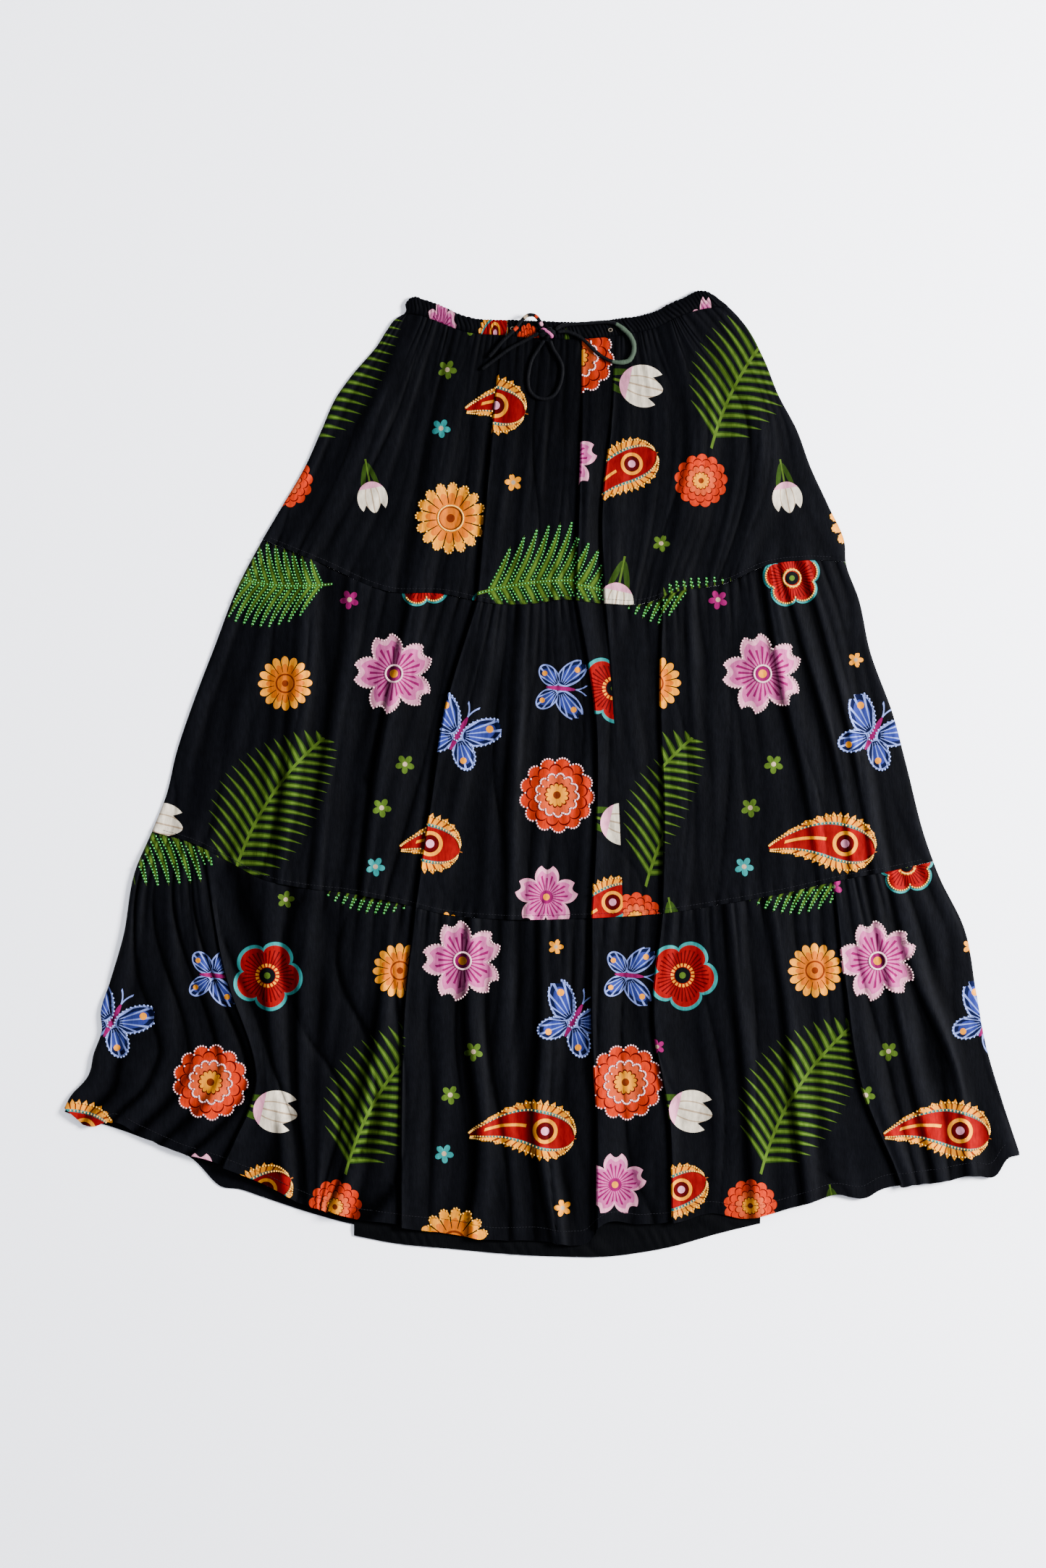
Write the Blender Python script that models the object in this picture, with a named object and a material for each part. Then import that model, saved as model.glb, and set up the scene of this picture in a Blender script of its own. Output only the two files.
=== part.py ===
"""A three-tier gathered skirt with a tied drawstring waist, laid flat on its back.

Metres, +Z up. The origin is on the surface that the skirt lies on, at the middle of its plan.
+Y points from the hem to the waist and +X to the right of the skirt as it is seen from above.
All tables are in millimetres.
"""

import bmesh
import bpy
import numpy as np

MM = 0.001

# Walls and gaps, in millimetres
BACK_WALL = 1.5
FRONT_WALL = 1.8
LINING_WALL = 1.0
CASING_BACK_WALL = 2.5
CASING_FRONT_WALL = 1.0
CASING_PUFF = 2.4
SEAM_GAP = 0.3
SEAM_SHARE = 0.7
INSIDE_LIFT = 1.6
LIFT_WIDTH = 45.0
CORD_DIAMETER = 3.6
CORD_STEP = 8.0
KNOT_SIZE = (15.0, 11.0, 7.5)
KNOT_PLACE = (5.0, 437.0, 10.9)
LINING_TOP = -160.0

# Gathers: waves across each front piece, how high they stand and how far down they run
CASING_WAVES = 52
CASING_GATHER = 0.9
TIER_WAVES = {"tier1": 52, "tier2": 52, "tier3": 56}
TIER_GATHER = 1.7
GATHER_REACH = 0.5

# How much the gathers differ in height, and in how many waves that height changes
UNEVEN_SHARE = 0.28
UNEVEN_FAST = 2.1
UNEVEN_SLOW = 0.7

# How much of its puff the casing keeps at its two ends, and how soon it has it all
END_PUFF = 0.25
END_SPEED = 14.0

# Grids of the flat pieces, and how near a gather's column may come to a fold's
BACK_COLUMNS = 24
BACK_ROWS = 5
LINING_COLUMNS = 24
LINING_ROWS = (0.0, 0.5, 0.96, 1.0)
COLUMN_ROOM = 0.2
SHARP_ANGLE = 0.9

# The skirt's side edges in plan: a row for each point is its height on the skirt y, then x
LEFT_SIDE = (
    (467, -136), (458, -137), (454, -144), (442, -154), (426, -164), (398, -188), (376, -204),
    (343, -219), (305, -236), (267, -258), (233, -278), (190, -301), (126, -326), (71, -347),
    (20, -364), (-22, -374), (-57, -388), (-94, -404), (-163, -417), (-207, -430), (-237, -439),
    (-255, -438), (-278, -446), (-301, -452), (-319, -467), (-336, -475),
)
RIGHT_SIDE = (
    (476, 171), (465, 185), (449, 200), (414, 220), (377, 235), (343, 253), (305, 267), (266, 285),
    (229, 301), (211, 302), (174, 315), (123, 326), (59, 349), (10, 362), (-67, 382), (-102, 395),
    (-151, 419), (-219, 432), (-268, 441), (-323, 457), (-377, 475),
)

# Edges across the skirt: a row for each point is x, then y, from the left side to the right
WAIST_TOP = (
    (-136, 467), (-133, 471), (-128, 474), (-119, 472), (-110, 469), (-95, 463), (-80, 456),
    (-68, 453), (-28, 451), (0, 450), (40, 449), (80, 453), (100, 456), (113, 460), (124, 466),
    (140, 473), (155, 480), (165, 479), (171, 476),
)
CASING_SEAM = (
    (-137, 458), (-126, 457), (-110, 452), (-95, 446), (-80, 440), (-42, 436), (-6, 433),
    (37, 432), (80, 436), (112, 443), (136, 454), (159, 462), (185, 465),
)
TIER_SEAM_1 = (
    (-278, 233), (-222, 210), (-152, 181), (-101, 179), (-49, 169), (-9, 169), (19, 173),
    (60, 169), (99, 169), (135, 181), (181, 189), (223, 207), (260, 212), (302, 211),
)
TIER_SEAM_2 = (
    (-388, -57), (-340, -72), (-310, -88), (-280, -104), (-245, -112), (-190, -119), (-136, -130),
    (-95, -140), (-50, -144), (51, -143), (123, -138), (181, -129), (231, -120), (303, -104),
    (346, -96), (387, -87),
)
FRONT_HEM = (
    (-475, -336), (-446, -353), (-431, -348), (-400, -361), (-364, -377), (-322, -390),
    (-276, -409), (-243, -425), (-194, -441), (-141, -449), (-90, -455), (-49, -462), (-6, -462),
    (30, -466), (44, -464), (57, -451), (100, -449), (126, -447), (166, -436), (201, -441),
    (253, -430), (292, -418), (323, -420), (335, -413), (366, -407), (392, -404), (432, -397),
    (453, -395), (461, -382), (475, -377),
)
BACK_HEM = (
    (-475, -336), (-400, -361), (-345, -385), (-320, -410), (-301, -413), (-280, -420),
    (-232, -436), (-187, -448), (-90, -451), (30, -458), (57, -446), (126, -441), (253, -424),
    (366, -401), (432, -391), (475, -377),
)
LINING_HEM = (
    (-187, -459), (-152, -466), (-94, -472), (-40, -477), (15, -480), (63, -480), (125, -471),
    (183, -455), (217, -447),
)

# Folds of each front tier, from left to right. x is read at the top, a third down, two thirds
# down and at the bottom of the tier. A fold rises over "rise" from its left foot to its crest
# and falls away to the right over "fall". A rise of 4 is a lapped pleat, a longer one is soft.
# name, x at 0, x at 1/3, x at 2/3, x at 1, rise, fall, height at the top, middle and bottom
FOLDS = {
    "tier1": (
        ("far left", -120, -158, -196, -232, 14, 30, 1.0, 3.0, 1.5),
        ("left", -78, -99, -114, -129, 12, 30, 1.0, 3.0, 2.0),
        ("left lap", -39, -48, -56, -64, 4, 50, 0.6, 4.2, 4.8),
        ("centre lap", 41, 40, 37, 35, 4, 26, 0.6, 4.2, 4.8),
        ("strip lap", 74, 69, 60, 63, 4, 50, 0.6, 4.2, 4.6),
        ("right", 127, 152, 145, 123, 14, 30, 1.0, 3.0, 1.5),
        ("far right", 153, 210, 217, 192, 14, 30, 1.0, 3.0, 1.5),
    ),
    "tier2": (
        ("far left", -233, -238, -250, -257, 12, 28, 2.5, 3.5, 2.0),
        ("left", -183, -197, -212, -222, 12, 28, 1.0, 3.0, 2.0),
        ("left soft", -125, -147, -165, -176, 8, 40, 2.5, 4.0, 3.0),
        ("left lap", -64, -94, -110, -125, 4, 50, 4.8, 4.8, 4.8),
        ("middle", -15, -22, -28, -30, 12, 24, 2.0, 3.0, 2.0),
        ("centre lap", 35, 53, 55, 50, 4, 50, 4.8, 4.8, 4.8),
        ("strip lap", 63, 72, 78, 82, 4, 40, 4.6, 1.5, 0.5),
        ("right lap", 120, 118, 122, 120, 4, 45, 3.5, 4.5, 4.8),
        ("right short", 145, 150, 156, 162, 8, 16, 2.5, 1.0, 0.5),
        ("right slant", 222, 238, 262, 280, 6, 24, 2.5, 3.2, 1.0),
        ("far right slant", 238, 268, 296, 312, 6, 24, 2.0, 3.2, 1.5),
        ("edge slant", 262, 290, 314, 332, 6, 20, 1.5, 3.0, 1.5),
    ),
    "tier3": (
        ("flap lap", -335, -316, -283, -316, 5, 45, 2.0, 4.8, 4.8),
        ("left", -271, -271, -262, -251, 10, 24, 2.0, 3.0, 2.0),
        ("left middle", -228, -237, -238, -228, 10, 26, 2.0, 3.0, 2.0),
        ("left slant", -150, -157, -177, -204, 8, 20, 1.0, 3.8, 3.8),
        ("left lap", -125, -136, -139, -139, 4, 45, 4.8, 4.8, 4.8),
        ("middle left", -68, -71, -60, -68, 8, 26, 3.0, 4.0, 3.0),
        ("middle", 1, 2, -3, 15, 8, 26, 2.0, 4.0, 3.0),
        ("centre lap", 50, 50, 55, 55, 4, 45, 4.8, 5.2, 5.0),
        ("right lap", 120, 111, 127, 130, 4, 45, 4.8, 5.0, 5.0),
        ("right soft", 188, 197, 207, 215, 8, 26, 2.0, 3.2, 2.5),
        ("right middle", 228, 243, 253, 266, 8, 26, 2.0, 3.5, 3.0),
        ("big right lap", 290, 302, 318, 358, 4, 45, 3.0, 5.2, 5.2),
        ("far right", 325, 348, 370, 395, 8, 24, 2.0, 3.5, 2.5),
        ("edge right", 346, 372, 413, 428, 8, 24, 1.0, 3.5, 3.0),
    ),
}

# Rows of points down each front tier, as fractions of the way from its top edge to its bottom
TIER_ROWS = {
    "tier1": (0.0, 0.06, 0.2, 0.42, 0.72, 1.0),
    "tier2": (0.0, 0.05, 0.18, 0.4, 0.7, 1.0),
    "tier3": (0.0, 0.05, 0.17, 0.36, 0.6, 0.82, 1.0),
}
TIER_EDGES = {
    "tier1": (CASING_SEAM, TIER_SEAM_1),
    "tier2": (TIER_SEAM_1, TIER_SEAM_2),
    "tier3": (TIER_SEAM_2, FRONT_HEM),
}

# The casing's rounded section: how far down the casing, how much of the puff
CASING_SECTION = ((0.0, 0.1), (0.22, 0.9), (0.72, 1.0), (1.0, 0.25))

# Routes of the tie cord: x, y and z of hand-placed points
TIE_ROUTES = {
    "tie_loop_right": (
        (13, 440, 10.4), (19, 444, 9.4), (30, 446, 8.9), (45, 447, 8.6), (57, 448, 8.6),
        (67, 448, 8.5), (74, 446, 8.7), (81, 441, 8.9), (87, 435, 9.0), (91, 426, 9.1),
        (90, 416, 9.1), (86, 410, 9.5), (79, 408, 9.9), (70, 409, 9.5), (61, 413, 8.8),
        (52, 420, 8.8), (45, 427, 9.1), (38, 433, 8.9), (30, 437, 9.1), (22, 439, 9.3),
        (15, 438, 10.2),
    ),
    "tie_loop_middle": (
        (2, 430, 10.2), (-4, 421, 8.9), (-10, 411, 8.5), (-13, 400, 8.6), (-14, 390, 8.6),
        (-12, 380, 8.4), (-6, 374, 8.3), (2, 372, 8.2), (11, 375, 8.1), (17, 384, 8.2),
        (20, 395, 8.3), (20, 405, 8.3), (16, 414, 8.4), (11, 422, 8.8), (8, 430, 10.0),
    ),
    "tie_end_upper": (
        (0, 444, 10.6), (-3, 450, 9.4), (-8, 455, 8.4), (-14, 455, 8.2), (-20, 450, 8.5),
        (-25, 443, 9.2), (-33, 435, 9.2), (-40, 428, 9.7), (-46, 421, 9.2), (-53, 413, 8.8),
    ),
    "tie_end_lower": (
        (-3, 437, 10.3), (-11, 433, 9.6), (-20, 428, 9.5), (-28, 424, 9.5), (-36, 419, 9.8),
        (-44, 413, 9.4), (-52, 407, 8.9), (-60, 401, 8.7),
    ),
}

# Colours, as base colour and roughness
BLACK_CREPE = ((0.012, 0.012, 0.014), 0.85)
BLACK_LINING = ((0.006, 0.006, 0.007), 0.75)
BLACK_CORD = ((0.014, 0.013, 0.014), 0.8)


def clear_scene():
    """Remove whatever the file holds."""
    for thing in list(bpy.data.objects):
        bpy.data.objects.remove(thing)


def smooth_step(value):
    """0 below 0, 1 above 1 and a soft rise between."""
    value = np.clip(value, 0.0, 1.0)
    return value * value * (3.0 - 2.0 * value)


def read_curve(rows, at):
    """The second column of a table at values of its first, on a smooth line through its rows."""
    xs, ys = np.array(sorted(rows), float).T
    slopes = np.gradient(ys, xs)
    at = np.clip(at, xs[0], xs[-1])
    low = np.clip(np.searchsorted(xs, at) - 1, 0, len(xs) - 2)
    span = xs[low + 1] - xs[low]
    part = (at - xs[low]) / span
    rest = 1.0 - part
    return (
        (1.0 + 2.0 * part) * rest**2 * ys[low]
        + part * rest**2 * span * slopes[low]
        + part**2 * (3.0 - 2.0 * part) * ys[low + 1]
        - part**2 * rest * span * slopes[low + 1]
    )


def fold_x(fold, down):
    """Where a fold's crest is at a fraction of the way down its tier."""
    return read_curve(tuple(zip((0.0, 1 / 3, 2 / 3, 1.0), fold[1:5])), down)


def fold_height(fold, down):
    """How high a fold stands at a fraction of the way down its tier."""
    return np.interp(down, (0.0, 0.5, 1.0), fold[7:10])


def side_x(edges, down):
    """The x of the left and right side of a piece at a fraction of the way down it."""
    top, bottom = edges
    left_y = top[0][1] + (bottom[0][1] - top[0][1]) * down
    right_y = top[-1][1] + (bottom[-1][1] - top[-1][1]) * down
    return read_curve(LEFT_SIDE, left_y), read_curve(RIGHT_SIDE, right_y)


def fold_knots(edges, folds, down):
    """Fractions across a piece at which its folds' feet and crests lie."""
    left, right = side_x(edges, down)
    lines = [0.0]
    for fold in folds:
        crest = fold_x(fold, down)
        lines.append((crest - fold[5] - left) / (right - left))
        lines.append((crest - left) / (right - left))
    lines.append(1.0)
    return np.array(lines, float)


def plan_points(edges, folds, columns, rows, bottom_gap):
    """x and y of a grid of points on a piece. Columns follow the folds."""
    top, bottom = edges
    half_gap = SEAM_GAP * SEAM_SHARE
    knots = fold_knots(edges, folds, 0.5)
    x = np.zeros((len(rows), len(columns)))
    y = np.zeros_like(x)
    for row, down in enumerate(rows):
        left, right = side_x(edges, down)
        across = np.interp(columns, knots, fold_knots(edges, folds, down))
        x[row] = left + across * (right - left)
        top_y = read_curve(top, top[0][0] + across * (top[-1][0] - top[0][0]))
        bottom_y = read_curve(bottom, bottom[0][0] + across * (bottom[-1][0] - bottom[0][0]))
        top_y = top_y - half_gap * (top is not WAIST_TOP)
        bottom_y = bottom_y + half_gap * bottom_gap
        y[row] = top_y + (bottom_y - top_y) * down
    return x, y


def fold_field(edges, folds, x, down):
    """Height that the folds add at points x, in a row at a fraction of the way down."""
    left, right = side_x(edges, down)
    total = np.zeros_like(x)
    for fold in folds:
        past = x - fold_x(fold, down)
        rise = smooth_step(1.0 + past / fold[5])
        fall = smooth_step(1.0 - past / fold[6])
        total += (fold_height(fold, down) * np.where(past < 0.0, rise, fall)) ** 3
    side = smooth_step(np.minimum(x - left, right - x) / LIFT_WIDTH)
    return side * (INSIDE_LIFT + np.cbrt(total))


def closed_sheet(name, x, y, under, over, material):
    """A closed wall between two grids of heights over the same plan points."""
    rows, columns = x.shape
    mesh = bmesh.new()
    layers = []
    for heights in (under, over):
        layers.append(
            [
                [
                    mesh.verts.new((x[r, c] * MM, y[r, c] * MM, heights[r, c] * MM))
                    for c in range(columns)
                ]
                for r in range(rows)
            ]
        )
    low, high = layers
    for r in range(rows - 1):
        for c in range(columns - 1):
            mesh.faces.new((low[r][c], low[r][c + 1], low[r + 1][c + 1], low[r + 1][c]))
            mesh.faces.new((high[r][c], high[r + 1][c], high[r + 1][c + 1], high[r][c + 1]))
    rim = [(0, c) for c in range(columns)]
    rim += [(r, columns - 1) for r in range(1, rows)]
    rim += [(rows - 1, c) for c in range(columns - 2, -1, -1)]
    rim += [(r, 0) for r in range(rows - 2, 0, -1)]
    for (r, c), (r2, c2) in zip(rim, rim[1:] + rim[:1]):
        mesh.faces.new((low[r][c], high[r][c], high[r2][c2], low[r2][c2]))
    bmesh.ops.recalc_face_normals(mesh, faces=mesh.faces)
    data = bpy.data.meshes.new(name)
    mesh.to_mesh(data)
    mesh.free()
    data.materials.append(material)
    data.shade_smooth()
    data.set_sharp_from_angle(angle=SHARP_ANGLE)
    sheet = bpy.data.objects.new(name, data)
    bpy.context.scene.collection.objects.link(sheet)
    return sheet


def gather_wave(columns, waves):
    """Crest heights of the gathers, 0 to 1, no two neighbours alike."""
    crest = 0.5 - 0.5 * np.cos(2.0 * np.pi * waves * columns)
    change = np.sin(columns * waves * UNEVEN_FAST) * np.cos(columns * waves * UNEVEN_SLOW)
    return crest * (1.0 - UNEVEN_SHARE + UNEVEN_SHARE * change)


def front_tier(tier, material):
    """A gathered front tier with its folds."""
    edges = TIER_EDGES[tier]
    folds = FOLDS[tier]
    waves = TIER_WAVES[tier]
    rows = TIER_ROWS[tier]
    knots = fold_knots(edges, folds, 0.5)
    evenly = np.linspace(0.0, 1.0, 2 * waves + 1)
    apart = np.abs(evenly[:, None] - knots[None, :]).min(axis=1)
    columns = np.sort(np.concatenate([evenly[apart > COLUMN_ROOM / waves], knots]))
    x, y = plan_points(edges, folds, columns, rows, edges[1] is not FRONT_HEM)
    under = np.zeros_like(x)
    over = np.zeros_like(x)
    for row, down in enumerate(rows):
        under[row] = BACK_WALL + SEAM_GAP + fold_field(edges, folds, x[row], down)
        fade = TIER_GATHER * (1.0 - smooth_step(down / GATHER_REACH))
        over[row] = under[row] + FRONT_WALL + fade * gather_wave(columns, waves)
    return closed_sheet(f"{tier}_front", x, y, under, over, material)


def back_tier(tier, material):
    """The flat back of a tier, which lies on the table."""
    top, bottom = TIER_EDGES[tier]
    if bottom is FRONT_HEM:
        bottom = BACK_HEM
    rows = np.linspace(0.0, 1.0, BACK_ROWS + 1)
    columns = np.linspace(0.0, 1.0, BACK_COLUMNS + 1)
    x, y = plan_points((top, bottom), (), columns, rows, bottom is not BACK_HEM)
    flat = np.zeros_like(x)
    return closed_sheet(f"{tier}_back", x, y, flat, flat + BACK_WALL, material)


def waistband_front(material):
    """The gathered casing over its elastic, front half."""
    columns = np.linspace(0.0, 1.0, 2 * CASING_WAVES + 1)
    rows = [row[0] for row in CASING_SECTION]
    x, y = plan_points((WAIST_TOP, CASING_SEAM), (), columns, rows, True)
    under = np.full_like(x, CASING_BACK_WALL + SEAM_GAP)
    puff = np.array([row[1] for row in CASING_SECTION])[:, None]
    ends = smooth_step(np.minimum(columns, 1.0 - columns) * END_SPEED + END_PUFF)
    over = under + CASING_FRONT_WALL + CASING_PUFF * puff * ends
    over += CASING_GATHER * puff * gather_wave(columns, CASING_WAVES)
    return closed_sheet("waistband_front", x, y, under, over, material)


def waistband_back(material):
    """The back half of the casing, flat on the table."""
    columns = np.linspace(0.0, 1.0, BACK_COLUMNS + 1)
    x, y = plan_points((WAIST_TOP, CASING_SEAM), (), columns, (0.0, 0.5, 1.0), True)
    flat = np.zeros_like(x)
    return closed_sheet("waistband_back", x, y, flat, flat + CASING_BACK_WALL, material)


def lining_hem(material):
    """The lower stretch of the underskirt, between the back and the front of the third tier."""
    columns = np.linspace(LINING_HEM[0][0], LINING_HEM[-1][0], LINING_COLUMNS + 1)
    rows = np.array(LINING_ROWS)[:, None]
    hem = read_curve(LINING_HEM, columns)
    x = np.repeat(columns[None, :], len(rows), axis=0)
    y = LINING_TOP + (hem - LINING_TOP) * rows
    under = np.full_like(x, BACK_WALL + SEAM_GAP)
    return closed_sheet("lining_hem", x, y, under, under + LINING_WALL, material)


def smooth_route(route):
    """Evenly spaced points on a smooth curve through the points of a route."""
    points = np.array(route, float)
    steps = np.linalg.norm(np.diff(points, axis=0), axis=1)
    along = np.concatenate([[0.0], np.cumsum(steps)])
    count = round(along[-1] / CORD_STEP) + 1
    stations = np.linspace(0.0, along[-1], count)
    columns = [read_curve(tuple(zip(along, points[:, axis])), stations) for axis in range(3)]
    return np.stack(columns, axis=1)


def tie_cord(name, material):
    """A stretch of the tie cord as a round tube along its route."""
    data = bpy.data.curves.new(name, "CURVE")
    data.dimensions = "3D"
    data.bevel_depth = CORD_DIAMETER / 2 * MM
    data.bevel_resolution = 2
    data.use_fill_caps = True
    points = smooth_route(TIE_ROUTES[name]) * MM
    spline = data.splines.new("POLY")
    spline.points.add(len(points) - 1)
    for point, place in zip(spline.points, points):
        point.co = (*place, 1.0)
    data.materials.append(material)
    cord = bpy.data.objects.new(name, data)
    bpy.context.scene.collection.objects.link(cord)
    return cord


def bow_knot(material):
    """The knot that the loops and ends come out of."""
    mesh = bmesh.new()
    bmesh.ops.create_uvsphere(mesh, u_segments=12, v_segments=8, radius=0.5 * MM)
    bmesh.ops.scale(mesh, vec=KNOT_SIZE, verts=mesh.verts)
    data = bpy.data.meshes.new("bow_knot")
    mesh.to_mesh(data)
    mesh.free()
    data.materials.append(material)
    data.shade_smooth()
    knot = bpy.data.objects.new("bow_knot", data)
    knot.location = [value * MM for value in KNOT_PLACE]
    bpy.context.scene.collection.objects.link(knot)
    return knot


def make_material(name, finish):
    """A plain surface of one colour and roughness."""
    colour, roughness = finish
    material = bpy.data.materials.new(name)
    material.use_nodes = True
    surface = material.node_tree.nodes["Principled BSDF"]
    surface.inputs["Base Color"].default_value = (*colour, 1.0)
    surface.inputs["Roughness"].default_value = roughness
    surface.inputs["Metallic"].default_value = 0.0
    return material


def main():
    clear_scene()
    for tier in TIER_EDGES:
        back_tier(tier, make_material(f"{tier}_back_crepe", BLACK_CREPE))
        front_tier(tier, make_material(f"{tier}_front_crepe", BLACK_CREPE))
    waistband_back(make_material("waistband_back_crepe", BLACK_CREPE))
    waistband_front(make_material("waistband_front_crepe", BLACK_CREPE))
    lining_hem(make_material("lining_cloth", BLACK_LINING))
    for name in TIE_ROUTES:
        tie_cord(name, make_material(f"{name}_cord", BLACK_CORD))
    bow_knot(make_material("bow_knot_cord", BLACK_CORD))


if __name__ == "__main__":
    main()
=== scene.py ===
"""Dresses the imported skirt: printed crepe, gathers, stitches, beads, tie cord and a plain stage.

Tables are in millimetres. +Z is up, +Y runs from the hem to the waist and +X to the right.
"""

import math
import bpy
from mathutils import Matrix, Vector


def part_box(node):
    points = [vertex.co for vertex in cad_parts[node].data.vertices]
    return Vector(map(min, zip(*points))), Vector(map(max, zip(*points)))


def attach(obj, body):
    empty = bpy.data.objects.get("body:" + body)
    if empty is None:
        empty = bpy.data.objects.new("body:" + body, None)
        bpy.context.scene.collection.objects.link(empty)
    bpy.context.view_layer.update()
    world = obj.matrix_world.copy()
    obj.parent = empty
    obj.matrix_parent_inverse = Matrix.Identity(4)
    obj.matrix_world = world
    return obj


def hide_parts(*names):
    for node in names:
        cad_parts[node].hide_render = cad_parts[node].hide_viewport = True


bl_info = {
    "name": "Tiered Skirt Laid Flat",
    "version": (1, 0, 0),
    "blender": (4, 5, 0),
    "location": "3D View > Sidebar > Skirt",
    "description": "Makes the cloth, stitches, beads, tie cord and stage of a gathered skirt laid flat",
    "category": "Object",
}

import bpy
import numpy as np

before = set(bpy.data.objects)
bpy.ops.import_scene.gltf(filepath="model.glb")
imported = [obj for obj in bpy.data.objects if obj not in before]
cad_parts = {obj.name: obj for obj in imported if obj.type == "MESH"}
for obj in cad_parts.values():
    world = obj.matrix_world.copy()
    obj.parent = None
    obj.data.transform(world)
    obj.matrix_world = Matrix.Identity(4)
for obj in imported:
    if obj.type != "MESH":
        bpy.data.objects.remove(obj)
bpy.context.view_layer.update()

MM = 0.001

# Heights that the cloth pieces share with the solids, in millimetres
BACK_WALL = 1.5
FRONT_WALL = 1.8
CASING_BACK_WALL = 2.5
SEAM_GAP = 0.3
INSIDE_LIFT = 1.6
LIFT_WIDTH = 45.0
EDGE_ROUND = 7.0
EDGE_HEIGHT = 1.0
BEAD_LIFT = 0.35
EYELET_HEIGHT = 7.3
LINING_TOP = -160.0
HEM_TURN = 13.0
SEAM_TURN = 5.0

# Gathers across each front piece
CASING_WAVES = 86
TIER_WAVES = {"tier1": 52, "tier2": 52, "tier3": 56}
# How far down a tier its gathers reach, as a share of it, how high they are, by how much they
# differ in height and reach, and how fast that changes from one gather to the next
GATHER_REACH = {"tier1": 0.22, "tier2": 0.26, "tier3": 0.34}
GATHER_HEIGHT = {"tier1": 1.4, "tier2": 1.6, "tier3": 2.0}
HEIGHT_SPREAD = 0.34
REACH_SPREAD = 0.6
SPREAD_PACES = (2.1, 0.7, 1.3)
# Smaller gathers between them: how many to a gather, and their share of its height and reach
FINE_GATHERS = 1.87
FINE_SHARE = 0.4
# Loose folds that the gathers run into: how many to a gather, their height and their fullness
LOOSE_FOLDS = {"tier1": 0.23, "tier2": 0.33, "tier3": 0.46}
LOOSE_HEIGHT = {"tier1": 2.0, "tier2": 2.4, "tier3": 2.9}
LOOSE_FULLNESS = 0.42
LOOSE_LEAST = 0.15
LOOSE_PATCHES = ((29.0, 2.0), (71.0, 0.0))
RIGHT_FLATTER = 0.3
# The left of the third tier, whose loose folds were swept aside: up to which lane, and how high
SWEPT_LANE = 0.42
SWEPT_EXTRA = 0.7
# Thin creases, then the puckers above a seam: how many to a gather, and their height. Patches
# are given, here and above, by the paces of their two waves across and down
THIN_CREASES = 0.8
THIN_HEIGHT = 0.5
THIN_PATCHES = ((53.0, 7.0), (17.0, -4.0))
PUCKERS = 1.4
PUCKER_HEIGHT = 0.8
# Slow waves that keep the folds from being alike: size, pace across, pace down and start of each
SWAYS = {
    "gathers": ((0.2, 23.0, 6.0, 0.0), (0.12, 61.0, 0.0, 0.0)),
    "fine gathers": ((0.35, 19.0, 0.0, 0.0),),
    "fine height": ((0.4, 37.0, 0.0, 1.3),),
    "loose folds": ((0.6, 13.0, 0.0, 0.0),),
    "loose twist": ((0.5, 31.0, 4.0, 0.0),),
    "swept folds": ((0.55, 0.0, 5.5, 0.6),),
    "thin creases": ((0.6, 11.0, 5.0, 0.0),),
    "puckers": ((0.3, 31.0, 0.0, 0.0),),
    "casing": ((0.5, 17.0, 0.0, 0.0), (0.4, 47.0, 2.0, 0.0)),
}
# Rumples: how far their lines bend over which length, then two sets of dents, with their height
# and the lengths in x and y of the two waves that cross in them
RUMPLE_BEND = ((18.0, 47.0), (9.0, 61.0))
RUMPLES = ((0.55, (16.0, 41.0), (-67.0, 23.0)), (0.4, (29.0, -13.0), (37.0, 71.0)))
RUMPLE_SPAN = 300.0
# How far the crests of the gathers are sunk, so that they end where the solid's do
CREST_SINK = 1.3
# How many times higher the soft folds are here than in their table
SOFT_GAIN = 1.5
# The smooth lifted cloth under the bow: to either side, down its tier, its lift and how smooth
BOW_REACH = 100.0
BOW_DEPTH = 0.34
BOW_LIFT = 0.8
BOW_SMOOTHING = 0.85
# The hem's steps at the laps and its pull with the folds, then the rise of a turned edge and the
# dip at a seam
HEM_STEP = 1.8
HEM_PULL = 0.7
TURN_RISE = 0.35
SEAM_DIP = 0.7
SEAM_DIP_WIDTH = 3.0
# Painted shade and light in the cloth's colour: the hollows' painted shade against the crests, then the
# painted light of the far right side and the painted shade over the middle of the waist
HOLLOW_SHADE = 0.8
HOLLOW_REACH = 8
SHADE_RANGE = (0.25, 1.6)
RIGHT_SIDE_PAINTED_LIGHT = 0.14
WAIST_PAINTED_SHADE = 0.42

# The skirt's side edges in plan: a row for each point is its height on the skirt y, then x
LEFT_SIDE = (
    (467, -136), (458, -137), (454, -144), (442, -154), (426, -164), (398, -188), (376, -204),
    (343, -219), (305, -236), (267, -258), (233, -278), (190, -301), (126, -326), (71, -347),
    (20, -364), (-22, -374), (-57, -388), (-94, -404), (-163, -417), (-207, -430), (-237, -439),
    (-255, -438), (-278, -446), (-301, -452), (-319, -467), (-336, -475),
)
RIGHT_SIDE = (
    (476, 171), (465, 185), (449, 200), (414, 220), (377, 235), (343, 253), (305, 267), (266, 285),
    (229, 301), (211, 302), (174, 315), (123, 326), (59, 349), (10, 362), (-67, 382), (-102, 395),
    (-151, 419), (-219, 432), (-268, 441), (-323, 457), (-377, 475),
)

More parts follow.
